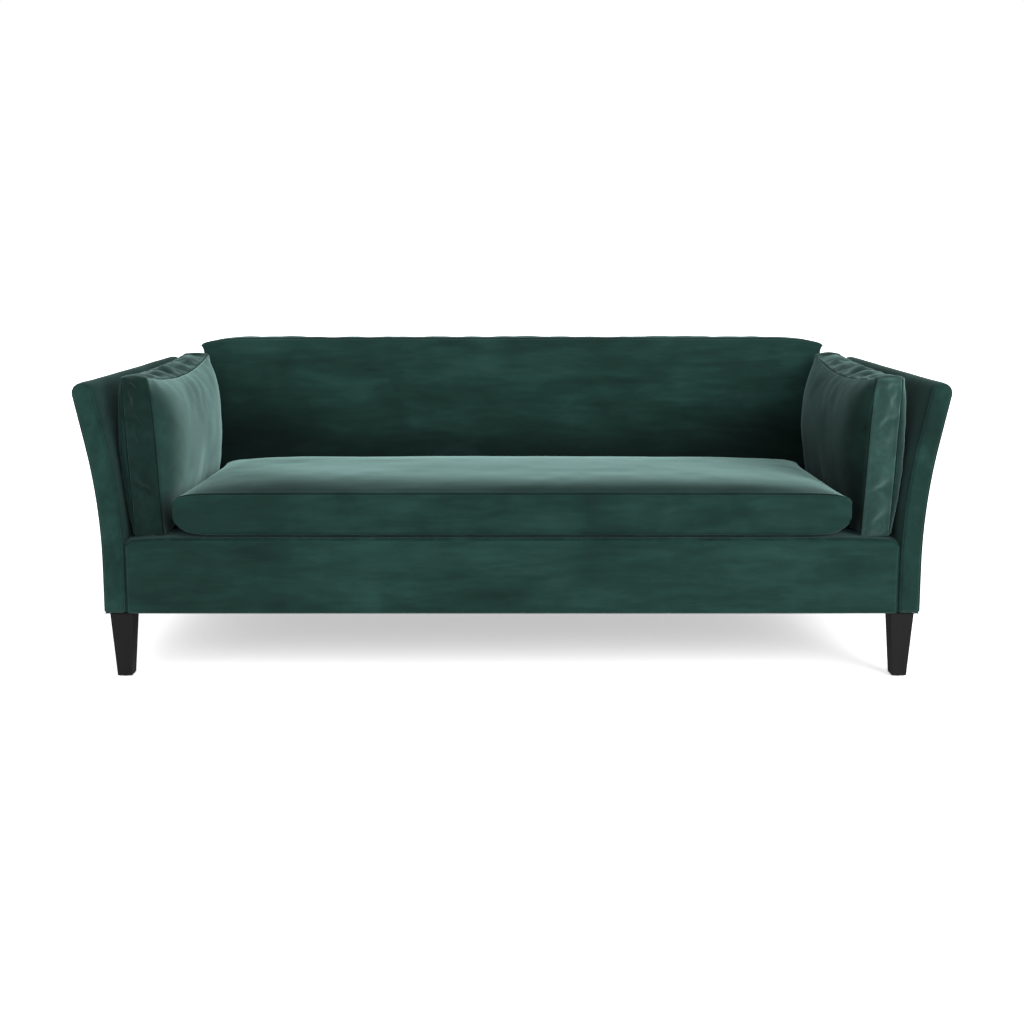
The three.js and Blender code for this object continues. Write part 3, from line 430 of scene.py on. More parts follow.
# Dark with little sheen: painted shade, where the arms' insides, the rail's ledge and the seat's
# underside lie in shadow.
VELVET_WELL = velvet("velvet_well", SIDEWAYS, shade=0.85, sheen=0.14)
# Lighter: painted light, for the right arm cushion's border.
VELVET_LIGHT = velvet("velvet_light", SIDEWAYS, shade=1.12, sheen=0.88, spread=0.54)
# Darker with less sheen: painted shade, for the left arm cushion's border and both top borders.
VELVET_DEEP = velvet("velvet_deep", SIDEWAYS, shade=0.62, sheen=0.42, spread=0.44)
# The left arm cushion's inner panel: painted shade at its foot beside the seat.
VELVET_INNER = velvet(
    "velvet_inner", SIDEWAYS, spread=0.45, painted_shade=("Z", 0.38, 0.49, 0.20, 0.0, 1)
)
# The right arm cushion's inner panel, which faces away from the light: darker, with painted shade
# lower down.
VELVET_DARK = velvet(
    "velvet_dark", SIDEWAYS, shade=0.68, sheen=0.33, painted_shade=("Z", 0.42, 0.74, 0.38, 0.0, 1)
)


def woven(name, dark, light, scale):
    """A plain weave: two crossed sets of waves."""
    f = Finish(name)
    place = f.place()
    waves = []
    for direction in ("X", "Y"):
        w = f.nodes.new("ShaderNodeTexWave")
        w.bands_direction = direction
        inputs = {"Vector": place, "Scale": scale, "Distortion": 0.6, "Detail": 1.0}
        waves.append(f.fill(w, inputs).outputs["Fac"])
    weave = f.maths("MULTIPLY", *waves)
    tone = f.mixed((weave, 0.4), (f.noise(place, 12, 3.0), 0.6))
    return f.give(
        Base_Color=f.ramp(tone, [(0.3, linear(*dark)), (0.8, linear(*light))]),
        Normal=f.bump(weave, 0.4, 0.0004), Roughness=0.9, Specular_IOR_Level=0.2,
    )


LINING = woven("deck_lining", (14, 28, 25), (34, 54, 49), 260)
DUST = woven("dust_cloth", (13, 13, 14), (34, 34, 36), 320)
WEBBING = woven("webbing", (30, 27, 25), (70, 64, 58), 220)
ZIP_TAPE = woven("zip_tape", (12, 30, 27), (30, 52, 47), 420)


def grained(name, tones, along, scale, rough, gloss=0.5):
    """Wood: rings stretched along the grain, with fine pores."""
    f = Finish(name)
    long = f.stretch(f.place(), along)
    rings = f.noise(long, scale, 6.0, 0.6, 1.2)
    pores = f.noise(long, scale * 9, 3.0, 0.7)
    tone = f.mixed((rings, 0.7), (pores, 0.3))
    return f.give(
        Base_Color=f.ramp(tone, list(zip((0.32, 0.5, 0.7), (linear(*t) for t in tones)))),
        Normal=f.bump(tone, 0.25, 0.0008),
        Roughness=f.maths("MULTIPLY_ADD", pores, 0.25, rough - 0.12),
        Specular_IOR_Level=gloss,
    )


LACQUER_TONES = ((4, 4, 4), (8, 8, 8), (15, 15, 14))
TIMBER_TONES = ((150, 112, 70), (188, 150, 100), (214, 182, 132))
BLACK_WOOD = grained("black_lacquered_wood", LACQUER_TONES, (1, 1, 0.08), 60, 0.6, 0.3)
TIMBER_X, TIMBER_Y, TIMBER_Z = (
    grained(f"timber_along_{axis}", TIMBER_TONES, along, 28, 0.72)
    for axis, along in (("x", (0.08, 1, 1)), ("y", (1, 0.08, 1)), ("z", (1, 1, 0.08)))
)


def mottled(name, dark, light, scale, rough, metal=0.0, strength=0.2):
    f = Finish(name)
    cloud = f.noise(f.place(), scale, 4.0, 0.6)
    return f.give(
        Base_Color=f.ramp(cloud, [(0.3, linear(*dark)), (0.7, linear(*light))]),
        Normal=f.bump(cloud, strength, 0.0006),
        Roughness=f.maths("MULTIPLY_ADD", cloud, 0.2, rough - 0.1), Metallic=metal,
    )


FOAM = mottled("foam", (206, 194, 156), (228, 218, 186), 420, 0.95, strength=0.5)
STEEL = mottled("spring_steel", (92, 94, 97), (150, 152, 155), 120, 0.38, 1.0)
NYLON = mottled("black_nylon", (16, 16, 17), (36, 36, 38), 160, 0.5)


# Arms

# The points up the arm's sides: how far from foot and top they begin and end, and their number
EDGE_LOW, EDGE_HIGH, EDGE_POINTS = 0.033, 0.034, 26
FOOT, FOOT_RADIUS = 0.0020, 0.0075
ARM_ROWS, BACK_COLUMNS, RAIL_COLUMNS = 44, 92, 96


def arm_ring(inset):
    """The arm seen from the front, drawn in on all sides."""
    bottom = LEG + FOOT + inset
    top = TOP - inset
    r_top = max(ARM_RADIUS - inset, 0.0008)
    r_low = max(FOOT_RADIUS - inset, 0.0005)
    heights = np.linspace(LEG + EDGE_LOW, TOP - EDGE_HIGH, EDGE_POINTS)
    corners = [(arm_x(inset, bottom), bottom, r_low, 0)]
    corners += [(arm_x(inset, z), z, 0, 0) for z in heights]
    corners += [(arm_x(inset, top), top, r_top, 0), (arm_x(ARM - inset, top), top, r_top, 0)]
    corners += [(arm_x(ARM - inset, z), z, 0, 0) for z in heights[::-1]]
    corners += [(arm_x(ARM - inset, bottom), bottom, r_low, 0)]
    return outline(corners)


# The arm's two ends, as (inset, depth): the sewn facing with its seam, and the rounded rear
FACING = [
    (0.0245, -0.0004), (0.0180, -0.0005), (0.0120, -0.0003), (0.0085, 0.0000), (0.0066, 0.0004),
    (0.0054, 0.0012), (0.0046, 0.0036), (0.0038, 0.0016), (0.0030, 0.0013), (0.0020, 0.0020),
    (0.0011, 0.0036), (0.0004, 0.0058), (0.0, 0.0090),
]
ARM_REAR = [
    (0.0, 0.0090), (0.0006, 0.0050), (0.0020, 0.0020), (0.0042, 0.0006), (0.0080, 0.0),
    (0.0245, 0.0),
]
FACING_DEPTH = 0.0040


def arm_body():
    rings = []
    for inset, depth in FACING:
        ring = arm_ring(inset)
        rings.append(np.column_stack([ring[:, 0], np.full(len(ring), FRONT + depth), ring[:, 1]]))
    side = arm_ring(0)
    rear = outside_y(0) + side[:, 1] * TAN_OUT
    start, end = FRONT + FACING[-1][1], rear - ARM_REAR[0][1]
    for f in np.linspace(0, 1, ARM_ROWS)[1:-1]:
        rings.append(np.column_stack([side[:, 0], start + (end - start) * f, side[:, 1]]))
    for inset, depth in ARM_REAR:
        ring = arm_ring(inset)
        y = outside_y(0) + ring[:, 1] * TAN_OUT - depth
        rings.append(np.column_stack([ring[:, 0], y, ring[:, 1]]))
    return loft(rings)


def inside_arm(x, y, z):
    return abs(x) < arm_x(ARM / 2, z) and y > FRONT + FACING_DEPTH


arm_points, arm_faces = arm_body()
for side, sign, seed in (("right", 1, 11), ("left", -1, 23)):
    points, faces = (arm_points, arm_faces) if sign > 0 else mirrored(arm_points, arm_faces)
    arm = new_mesh(f"{side}_arm_upholstery", points, faces, VELVET_SIDE, "frame")
    # Its inside faces, behind the facing, take the dark velvet with little sheen: painted shade.
    refinish(arm, VELVET_WELL, inside_arm)
    behind_facing = smooth((coordinates(arm)[:, 1] - FRONT) / 0.03)
    uneven = unevenness(arm, seed, (0.0009, (0.10, 0.16, 0.14)), (0.0004, 0.05))
    puff(arm, uneven * behind_facing)
    dressed(arm, "velvet", f"{side}_arm_cover", f"{side}_arm_pad", fill=0.95)


# Back


def back_ring(inset):
    """The back seen from the side: a wedge above the platform, one thin layer below it."""
    low = LEG + FOOT
    cut = DECK - 0.0015
    top = TOP - inset
    r = max(BACK_RADIUS - inset, 0.004)
    layer = 2 * LAYERS
    return outline(
        [
            (outside_y(low) - inset, low, 0.004, 18),
            (outside_y(top) - inset, top, r, 1),
            (inside_y(top) + inset, top, r, 16),
            (inside_y(cut) + inset, cut, 0, 3),
            (outside_y(cut) - layer, cut, 0, 4),
            (outside_y(low) - layer, low, 0, 1),
        ]
    )


# The back's two ends, rounded, as (inset, depth)
BACK_ENDS = [(0.0055, 0.0), (0.0028, 0.0012), (0.0011, 0.0030), (0.0, 0.0070)]


def fitted(ring, x, half, in_by=0.0):
    """A ring seen from the side, put at the share x / half of the way out to the arms."""
    reach = np.array([arm_x(ARM, z) for z in ring[:, 1]]) - GAP - in_by
    return np.column_stack([x * reach / half, ring[:, 0], ring[:, 1]])


def back_body():
    left = [(inset, -1, depth) for inset, depth in BACK_ENDS]
    last = BACK_ENDS[-1][1]
    middle = [(0.0, f, last) for f in np.linspace(-1, 1, BACK_COLUMNS)[1:-1]]
    right = [(inset, 1, depth) for inset, depth in BACK_ENDS[::-1]]
    ends = left + middle + right
    return tube([fitted(back_ring(inset), f, 1, depth) for inset, f, depth in ends])


back = new_mesh("back_upholstery", *back_body(), VELVET, "frame")
puff(back, unevenness(back, 41, (0.0010, (0.20, 0.1, 0.12)), (0.0004, 0.06)))
dressed(back, "velvet", "back_cover", "back_pad", fill=0.9)


# Front rail


def rail_ring(end):
    """The front rail's padding seen from the side, "end" metres from the arm."""
    fall = dip(end, (0.0095, 0.020), (0.0060, 0.10))
    pull = dip(end, (0.0050, 0.010), (0.0015, 0.06))
    low = LEG + 0.0006
    lip = FRONT + LIP
    return outline(
        [
            (FRONT + pull, low, 0.005, 12),
            (FRONT + pull, DECK - fall, 0.016, 6),
            (lip, DECK - GAP, 0.0, 0),
            (lip, DECK - LAYERS + 0.0006, 0.0, 6),
            (FRONT + LAYERS, DECK - LAYERS - fall * 0.8, 0.0, 10),
            (FRONT + LAYERS, low, 0.0, 0),
        ]
    )


# Places of the rail's close rings, from each end, and where its evenly spaced ones begin
RAIL_ENDS = [0.0, 0.0016, 0.0036, 0.0062, 0.0095, 0.0135, 0.018, 0.024, 0.032, 0.042, 0.055]
RAIL_EVEN = 0.065
ARM_INNER = arm_x(ARM, 0.2)


def rail_body():
    half = ARM_INNER - GAP
    xs = [d - half for d in RAIL_ENDS]
    xs += [x for x in np.linspace(-1, 1, RAIL_COLUMNS) * half if abs(x) < half - RAIL_EVEN]
    xs += [half - d for d in RAIL_ENDS[::-1]]
    return tube([fitted(rail_ring(half - abs(x)), x, half) for x in xs])


RAIL_FACE = 0.0035
rail = new_mesh("front_rail_upholstery", *rail_body(), VELVET, "frame")
# Its top edge and ledge, behind the front face, take the dark velvet with little sheen: painted
# shade, a dark line under the seat cushion.
refinish(rail, VELVET_WELL, lambda x, y, z: y > FRONT + RAIL_FACE)
puff(rail, unevenness(rail, 51, (0.0008, (0.16, 0.1, 0.09)), (0.0003, 0.05)))
dressed(rail, "velvet", "front_rail_cover", "front_rail_pad", fill=0.9)


# Linings


def cloth(name, node, xs, ys, height, finish, rests_on, holes=()):
    """A cloth stretched over its frame, on a grid of points, with square holes."""
    points = [(x, y, height(x, y)) for y in ys for x in xs]
    faces = []
    for quad in quads(len(ys), len(xs)):
        x, y, _ = np.mean([points[q] for q in quad], axis=0)
        if not any(x0 < x < x1 and y0 < y < y1 for x0, x1, y0, y1 in holes):
            faces.append(quad)
    piece = new_mesh(name, points, faces, finish, "frame")
    thick = piece.modifiers.new("thickness", "SOLIDIFY")
    thick.thickness = 0.0008
    thick.offset = -1
    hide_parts(node)


PAD_EDGE = np.array([0.004, 0.009, 0.015])
PAD_COLUMNS, PAD_ROWS = 60, 24


def platform_padding():
    """The platform's foam. It falls off beside the arms, and lies under the rail's lip."""
    low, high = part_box("deck_pad")
    xs = [np.linspace(low[0], high[0], PAD_COLUMNS), low[0] + PAD_EDGE, high[0] - PAD_EDGE]
    xs = np.unique(np.round(np.concatenate(xs), 5))
    ys = np.linspace(FRONT + LAYERS + 0.001, high[1], PAD_ROWS)
    under, over = [], []
    for y in ys:
        for x in xs:
            fall = dip(high[0] - abs(x), (0.0100, 0.020), (0.0068, 0.10))
            fall *= 1 - smooth((y - FRONT - LIP + 0.02) / 0.05)
            top = high[2] - 0.0012 - fall
            if y < FRONT + LIP:
                top = min(top, DECK - LAYERS - fall)
            under.append((x, y, low[2]))
            over.append((x, y, top))
    nx, ny = len(xs), len(ys)
    faces = []
    for quad in quads(ny, nx):
        faces.append(quad[::-1])
        faces.append(tuple(q + nx * ny for q in quad))
    rim = [j * nx + i for i, j in rim_of(nx, ny)]
    for a, b in zip(rim, rim[1:] + rim[:1]):
        faces.append((a, b, b + nx * ny, a + nx * ny))
    return under + over, faces


padding = new_mesh("platform_padding", *platform_padding(), FOAM, "frame")
dressed(padding, "foam", "deck_pad", fill=1.0)

CLOTH_EDGE = 0.0005
low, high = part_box("deck_cover")
xs = np.linspace(low[0] + CLOTH_EDGE, high[0] - CLOTH_EDGE, 121)
ys = np.linspace(FRONT + LIP + GAP, high[1] - CLOTH_EDGE, 41)


def deck_height(x, y):
    u = x / high[0]
    v = (y - ys[0]) / (ys[-1] - ys[0]) * 2 - 1
    sag = 0.0016 * (1 - u**4) * (1 - v * v)
    wave = 0.0003 * float(ripple(np.array([x, y, 0.0]), (0.12, 0.09, 1), 61))
    return DECK - GAP - sag + wave * (1 - v * v)


cloth("deck_lining_cloth", "deck_cover", xs, ys, deck_height, LINING, ["platform_padding"])

dust_low, dust_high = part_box("dust_cover")
leg_boxes = [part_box(f"{side}_{end}_leg") for side in ("left", "right") for end in ("front", "rear")]
holes = [(b[0][0] - GAP, b[1][0] + GAP, b[0][1] - GAP, b[1][1] + GAP) for b in leg_boxes]
CLOTH_STEP, CLOSEST = 0.03, 0.0015


def lines_between(a, b, extra):
    """Evenly spaced grid lines, and the extra ones, without any that lie close together."""
    values = sorted(list(np.arange(a, b, CLOTH_STEP)) + [b] + [e for e in extra if a < e < b])
    kept = [values[0]]
    for value in values[1:]:
        if value - kept[-1] > CLOSEST:
            kept.append(value)
        elif value in extra:
            kept[-1] = value
    return kept


dust_xs = lines_between(dust_low[0], dust_high[0], [h for hole in holes for h in hole[:2]])
dust_ys = lines_between(dust_low[1], dust_high[1], [h for hole in holes for h in hole[2:]])


def dust_height(x, y):
    u = x / dust_high[0]
    v = (y - dust_low[1]) / (dust_high[1] - dust_low[1]) * 2 - 1
    sag = 0.0045 * (1 - u**6) * (1 - v * v) ** 1.5
    wave = 0.0010 * float(ripple(np.array([x, y, 0.0]), (0.10, 0.16, 1), 71))
    return dust_high[2] - sag + wave * (1 - u**6) * (1 - v * v) * 0.8


dust_rests = ["front_rail", "rear_rail"]
cloth("dust_cloth_sheet", "dust_cover", dust_xs, dust_ys, dust_height, DUST, dust_rests, holes)


# Loose cushions

FRAMES = 20
SPREAD_ROUNDS = 14
PANEL_FOLDS = 0.12
LONGEST_FOLD = 0.012
CORNER = 0.009
BY_SEAM = 0.9999
GROOVE_WIDTH, GROOVE_DEPTH = 0.0020, 0.0026
ROLL_AT, ROLL_WIDTH, ROLL_HEIGHT = 0.0060, 0.0035, 0.0008
CREASE_WIDTH, CREASE_RIDGE_AT, CREASE_RIDGE = 0.006, 0.011, 0.7
ZIP_SHARE, ZIP_HALF, ZIP_STEP, ZIP_BED = 0.93, 0.011, 0.0025, 0.0017
BED_MARGIN, BED_BANK, BED_SHARE = 0.002, 0.010, 0.015
# The slider's two blocks: start and stop along the zip, half width, and two heights over the tape
SLIDER_BODY = (0.000, 0.009, 0.0042, 0.0009, 0.0019)
SLIDER_PULL = (0.0012, 0.019, 0.0020, 0.00195, 0.0027)
SLIDER_FROM_END = 0.030


def lines(half, step, edge):
    """Grid lines from -1 to 1, with some at set distances from each end."""
    start = half - edge[-1]
    count = max(2, int(round(2 * start / step)))
    inner = np.linspace(-start, start, count + 1)
    right = [half - d for d in edge[-2::-1]]
    return np.array([-x for x in right[::-1]] + list(inner) + right) / half


# Grid lines near the seams, as distances from them: panels first, then the border's rows
FINE_EDGE = [0.0, 0.0014, 0.0030, 0.0055, 0.0090, 0.0140, 0.0205, 0.0285]
FINE_ROW = [0.0, 0.0014, 0.0030, 0.0055, 0.0090, 0.0140, 0.0205]
COARSE_EDGE = [0.0, 0.0125]
COARSE_ROW, COARSE_ROW_STEP = [0.0, 0.0115], 0.0125


def blend_matrix(fine, coarse):
    """Weights that carry values on the coarse lines to the fine ones along a smooth curve."""
    weights = np.zeros((len(fine), len(coarse)))
    last = len(coarse) - 1
    for row, x in enumerate(fine):
        i = int(np.clip(np.searchsorted(coarse, x, side="right") - 1, 0, last - 1))
        t = (x - coarse[i]) / (coarse[i + 1] - coarse[i])
        h = coarse[i + 1] - coarse[i]
        h00, h10 = 2 * t**3 - 3 * t**2 + 1, t**3 - 2 * t**2 + t
        h01, h11 = -2 * t**3 + 3 * t**2, t**3 - t**2
        weights[row, i] += h00
        weights[row, i + 1] += h01
        for knot, h1 in ((i, h10), (i + 1, h11)):
            before, after = max(knot - 1, 0), min(knot + 1, last)
            slope = h1 * h / (coarse[after] - coarse[before])
            weights[row, after] += slope
            weights[row, before] -= slope
    return weights


def spread(values, faces):
    """Evens values out over a mesh of quads."""
    quads = np.array(faces)
    a = np.concatenate([quads[:, k] for k in range(4)] + [quads[:, (k + 1) % 4] for k in range(4)])
    b = np.concatenate([quads[:, (k + 1) % 4] for k in range(4)] + [quads[:, k] for k in range(4)])
    count = np.bincount(a, minlength=len(values))[:, None]
    for _ in range(SPREAD_ROUNDS):
        near = [np.bincount(a, weights=values[b, k], minlength=len(values)) for k in range(3)]
        values = values * 0.5 + np.column_stack(near) / count * 0.5
    return values


class Boxed:
    """The grid of a boxed cushion: two panels sewn to a border all round."""

    def __init__(self, us, vs, ws):
        self.us, self.vs, self.ws = us, vs, ws
        nu, nv = len(us), len(vs)
        u, v = np.meshgrid(us, vs, indexing="ij")
        flat = np.column_stack([u.ravel(), v.ravel()])
        rim = rim_of(nu, nv)
        self.rim = [i * nv + j for i, j in rim]
        self.rim_uv = np.array([(us[i], vs[j]) for i, j in rim])
        one = np.ones(len(flat))
        params = [np.column_stack([flat, one]), np.column_stack([flat, -one])]
        params += [np.column_stack([self.rim_uv, np.full(len(rim), w)]) for w in ws[1:-1]]
        self.uvw = np.concatenate(params)
        self.panel = nu * nv
        border = len(rim) * (len(ws) - 2)
        self.kind = np.concatenate([one, -one, np.zeros(border)])
        faces = []
        for a, b, c, d in quads(nu, nv):
            faces.append((a, d, c, b))
            faces.append(tuple(q + self.panel for q in (b, c, d, a)))
        loops = [[r + self.panel for r in self.rim]]
        for row in range(len(ws) - 2):
            start = 2 * self.panel + row * len(rim)
            loops.append(list(range(start, start + len(rim))))
        loops.append(list(self.rim))
        for lower, upper in zip(loops, loops[1:]):
            for k in range(len(rim)):
                n = (k + 1) % len(rim)
                faces.append((lower[k], lower[n], upper[n], upper[k]))
        self.faces, self.loops = faces, loops

    def refine(self, points, fine):
        """Carries the points of this grid to a finer one."""
        nu, nv = len(self.us), len(self.vs)
        wu, wv = blend_matrix(fine.us, self.us), blend_matrix(fine.vs, self.vs)
        ww = blend_matrix(fine.ws, self.ws)
        result = []
        for start in (0, self.panel):
            grid = points[start : start + self.panel].reshape(nu, nv, 3)
            result.append(np.einsum("ai,bj,ijk->abk", wu, wv, grid).reshape(-1, 3))
        around = np.array([points[loop] for loop in self.loops])
        corners = [0, nu - 1, nu + nv - 2, 2 * nu + nv - 3, len(self.rim)]
        closed = np.concatenate([around, around[:, :1]], axis=1)
        sides = []
        for k, along in enumerate((wu, wv, wu[::-1, ::-1], wv[::-1, ::-1])):
            strip = closed[:, corners[k] : corners[k + 1] + 1]
            sides.append(np.einsum("ai,rj,jik->rak", along, ww, strip)[:, :-1])
        border = np.concatenate(sides, axis=1)
        result.append(border[1:-1].reshape(-1, 3))
        return np.concatenate(result)


def bell(x, width):
    return np.exp(-((x / width) ** 2))


class Cushion:
    """A boxed cushion, inflated as cloth and then sewn: folds, soft dents and sunk seams.

    Its own axes run along it, across it and through it, from the lower panel to the upper one.
    Seams are (drawn in at the ends, low side's draw, high side's draw, pinch of the corners), and
    a crown's powers say how flat it is along and across. Finishes are those of the lower panel,
    the border, the upper panel and the border's top.
    """

    skew, taper, end_crown = 0.0, 0.0, 0.003
    stands, mirror = True, False
    pressure, keep_swell = 4.0, 0.0
    row_step, zip_side, creases = 0.012, -1, ()

    def __init__(self, name, length, width, border, **shape):
        self.name = name
        self.half = np.array([length / 2, width / 2, border / 2])
        for key, value in shape.items():
            setattr(self, key, value)

    def grid(self, step, edge, row_step, row_edge):
        a, b, c = self.half
        return Boxed(lines(a, step, edge), lines(b, step, edge), lines(c, row_step, row_edge))

    def build(self):
        coarse = self.grid(self.coarse_step, COARSE_EDGE, COARSE_ROW_STEP, COARSE_ROW)
        fine = self.grid(self.step, FINE_EDGE, self.row_step, FINE_ROW)
        points = self.local(coarse)
        points = self.inflate(coarse, points)
        local = coarse.refine(points, fine)
        self.fine = fine
        piece = new_mesh(self.name, self.place(local), fine.faces, self.finishes[0], None)
        for finish in (*self.finishes[1:], SEAM):
            piece.data.materials.append(finish)
        self.piece, self.local_points = piece, local
        if self.mirror:
            piece.data.flip_normals()
        self.dress()
        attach(piece, self.name)
        return piece

    def inflate(self, grid, start):
        """Blows the sewn fabric up from the shape given, with the seams held short."""
        piece = new_mesh(self.name + "_cloth", start, grid.faces, self.finishes[0], None)
        seams = piece.vertex_groups.new(name="seams")
        seams.add(sorted(set(grid.loops[0] + grid.loops[-1])), 1.0, "REPLACE")
        cloth = piece.modifiers.new("cloth", "CLOTH")
        s = cloth.settings
        s.quality = 6
        s.mass = 0.3
        s.tension_stiffness = s.compression_stiffness = 18
        s.shear_stiffness = 6
        s.bending_stiffness = self.bend
        s.tension_damping = s.compression_damping = s.shear_damping = 8
        s.air_damping = 4
        s.use_pressure = True
        s.uniform_pressure_force = self.pressure
        s.vertex_group_shrink = "seams"
        s.shrink_min = -self.spare
        s.shrink_max = self.tight
        s.effector_weights.gravity = 0
        cloth.collision_settings.use_collision = False
        cloth.point_cache.frame_start, cloth.point_cache.frame_end = 1, FRAMES
        scene = bpy.context.scene
        for number in range(1, FRAMES + 1):
            scene.frame_set(number)
        graph = bpy.context.evaluated_depsgraph_get()
        moved = of_vertices(piece.evaluated_get(graph).to_mesh(), "co") - start
        scene.frame_set(1)
        bpy.data.objects.remove(piece)
        moved -= moved.mean(axis=0)
        swell = spread(moved, grid.faces)
        border = 1 - grid.uvw[:, 2:3] ** 2
        folds = (moved - swell) * (self.keep_folds * (PANEL_FOLDS + (1 - PANEL_FOLDS) * border))
        length = np.linalg.norm(folds, axis=1, keepdims=True)
        folds *= np.minimum(1, LONGEST_FOLD / np.maximum(length, 1e-9))
        return start + swell * self.keep_swell + folds

    def local(self, grid):
        u, v, w = grid.uvw.T
        a, b, c = self.half
        seams = zip(self.upper_seams, self.lower_seams)
        ends, low, high, pinch = (under + (over - under) * (w + 1) / 2 for over, under in seams)
        at_end = np.abs(u) ** self.end_power
        to_corner = np.maximum(v, 0) if self.stands else np.abs(v)
        x = u * a - ends * u**5 * (1 - to_corner**self.ear_power) - self.taper * u * v
        y = v * b - np.where(v > 0, high, low) * v**5 * (1 - at_end)
        z = w * (c - pinch * at_end * to_corner**self.pinch_power)
        for level, crown, powers, skew in (
            (1, self.upper_crown, self.upper_powers, 0.0),
            (-1, self.lower_crown, self.lower_powers, self.skew),
        ):
            on = grid.kind == level
            across = np.abs(v - skew * (1 - v * v))[on]
            z[on] += level * crown * (1 - np.abs(u[on]) ** powers[0]) * (1 - across ** powers[1])
        side = grid.kind == 0
        on_v = side & (np.abs(v) >= 1)
        on_u = side & (np.abs(u) >= 1)
        y[on_v] += (v * self.side_crown * (1 - w * w) * (1 - at_end))[on_v]
        x[on_u] += (u * self.end_crown * (1 - w * w) * (1 - v**4))[on_u]
        cx, cy = np.abs(x) - (a - CORNER), np.abs(y) - (b - CORNER)
        corner = (cx > 0) & (cy > 0)
        pull = 1 - np.maximum(cx, cy)[corner] / np.hypot(cx, cy)[corner]
        x[corner] -= np.sign(x[corner]) * cx[corner] * pull
        y[corner] -= np.sign(y[corner]) * cy[corner] * pull
        return np.column_stack([x, y, z])

    def around(self):
        """For each vertex: its distance to the nearest seam, and the folds that meet that seam."""
        u, v, w = self.fine.uvw.T
        kind = self.fine.kind
        a, b, c = self.half
        folds = np.zeros(len(u))
        panel = kind != 0
        for axis, sign in ((0, 1), (0, -1), (1, 1), (1, -1)):
            d, s = ((1 - sign * u) * a, v * b) if axis == 0 else ((1 - sign * v) * b, u * a)
            on = (~panel) & (np.abs((u, v)[axis] - sign) < 1e-9)
            line = np.column_stack([s, np.zeros(len(s)), np.zeros(len(s))])
            for level in (1, -1):
                seed = self.seed + axis * 7 + (sign > 0) * 13 + (level > 0) * 29
                wave = 0.7 * ripple(line, (0.020, 1, 1), seed)
                wave += 0.5 * ripple(line, (0.045, 1, 1), seed + 1)
                wave *= 0.45 + 0.55 * np.clip(0.3 + ripple(line, (0.22, 1, 1), seed + 2), 0, 1)
                near = kind == level
                folds[near] += (wave * np.exp(-d / self.fold_reach))[near]
                folds[on] += (wave * np.exp(-(1 - level * w) * c / self.fold_reach))[on]
        to_seam = np.where(
            panel, np.minimum((1 - np.abs(u)) * a, (1 - np.abs(v)) * b), (1 - np.abs(w)) * c
        )
        return to_seam, folds

    def dress(self):
        """Folds, soft unevenness and the sunk seams."""
        piece = self.piece
        to_seam, folds = self.around()
        local = self.local_points
        soft = self.soft * ripple(local, self.soft_size, self.seed + 50)
        soft += 0.35 * self.soft * ripple(local, 0.055, self.seed + 51)
        fade = smooth(to_seam / 0.05)
        puff(piece, self.fold * folds * smooth(to_seam / 0.004 + 0.25) + soft * fade)
        groove = bell(to_seam, GROOVE_WIDTH) * GROOVE_DEPTH
        roll = bell(to_seam - ROLL_AT, ROLL_WIDTH) * ROLL_HEIGHT
        u, v, w = self.fine.uvw.T
        front = (self.fine.kind == 0) & (u < -BY_SEAM)
        dents = np.zeros(len(u))
        for high, over, slant, length, depth in self.creases:
            up_by, across = (v + 1 - 2 * high) * self.half[1], (w + 1 - 2 * over) * self.half[2]
            turn = math.radians(slant)
            run = up_by * math.sin(turn) + across * math.cos(turn)
            off = up_by * math.cos(turn) - across * math.sin(turn)
            ridge = CREASE_RIDGE * bell(off - CREASE_RIDGE_AT, CREASE_WIDTH)
            dents -= depth * (bell(off, CREASE_WIDTH) - ridge) * bell(run, length)
        puff(piece, np.where(front, dents * smooth(to_seam / 0.012), 0.0))
        off_zip = np.maximum(np.abs(w) * self.half[2] - ZIP_HALF - BED_MARGIN, 0) / BED_BANK
        bed = (self.fine.kind == 0) & (v * self.zip_side > BY_SEAM)
        bed &= np.abs(u) < ZIP_SHARE + BED_SHARE
        puff(piece, roll - groove - np.where(bed, ZIP_BED * (1 - smooth(off_zip)), 0.0))
        finishes = []
        for face in self.fine.faces:
            across, level = self.fine.uvw[list(face), 1:].mean(axis=0)
            panel = 0 if level < -BY_SEAM else 2 if level > BY_SEAM else 3 if across > BY_SEAM else 1
            finishes.append(4 if min(to_seam[list(face)]) < 1e-6 else panel)
        piece.data.polygons.foreach_set("material_index", finishes)
        q = coordinates(piece)
        low = np.where(bed & (off_zip <= 0), DECK + GAP + ZIP_BED, DECK + GAP)
        q[:, 2] = np.maximum(q[:, 2], low)
        move(piece, q)

    def side_surface(self):
        """The border on the side that has the zip: its grid lines and their points."""
        q = coordinates(self.piece)
        u, v, w = self.fine.uvw.T
        on = (self.fine.kind == 0) & (v * self.zip_side > BY_SEAM) & (np.abs(u) < BY_SEAM)
        us, ws = np.unique(u[on]), np.unique(w[on])
        grid = np.zeros((len(us), len(ws), 3))
        grid[np.searchsorted(us, u[on]), np.searchsorted(ws, w[on])] = q[on]
        return us, ws, grid

    def zip_frame(self):
        """A function that gives a point beside the zip's middle line, at a height over it."""
        us, ws, grid = self.side_surface()
        middle = coordinates(self.piece).mean(axis=0)

        def surface(t, across):
            flat = grid.reshape(len(us), -1)
            row = [np.interp(t / self.half[0], us, column) for column in flat.T]
            row = np.array(row).reshape(len(ws), 3)
            return np.array([np.interp(across / self.half[2], ws, row[:, k]) for k in range(3)])

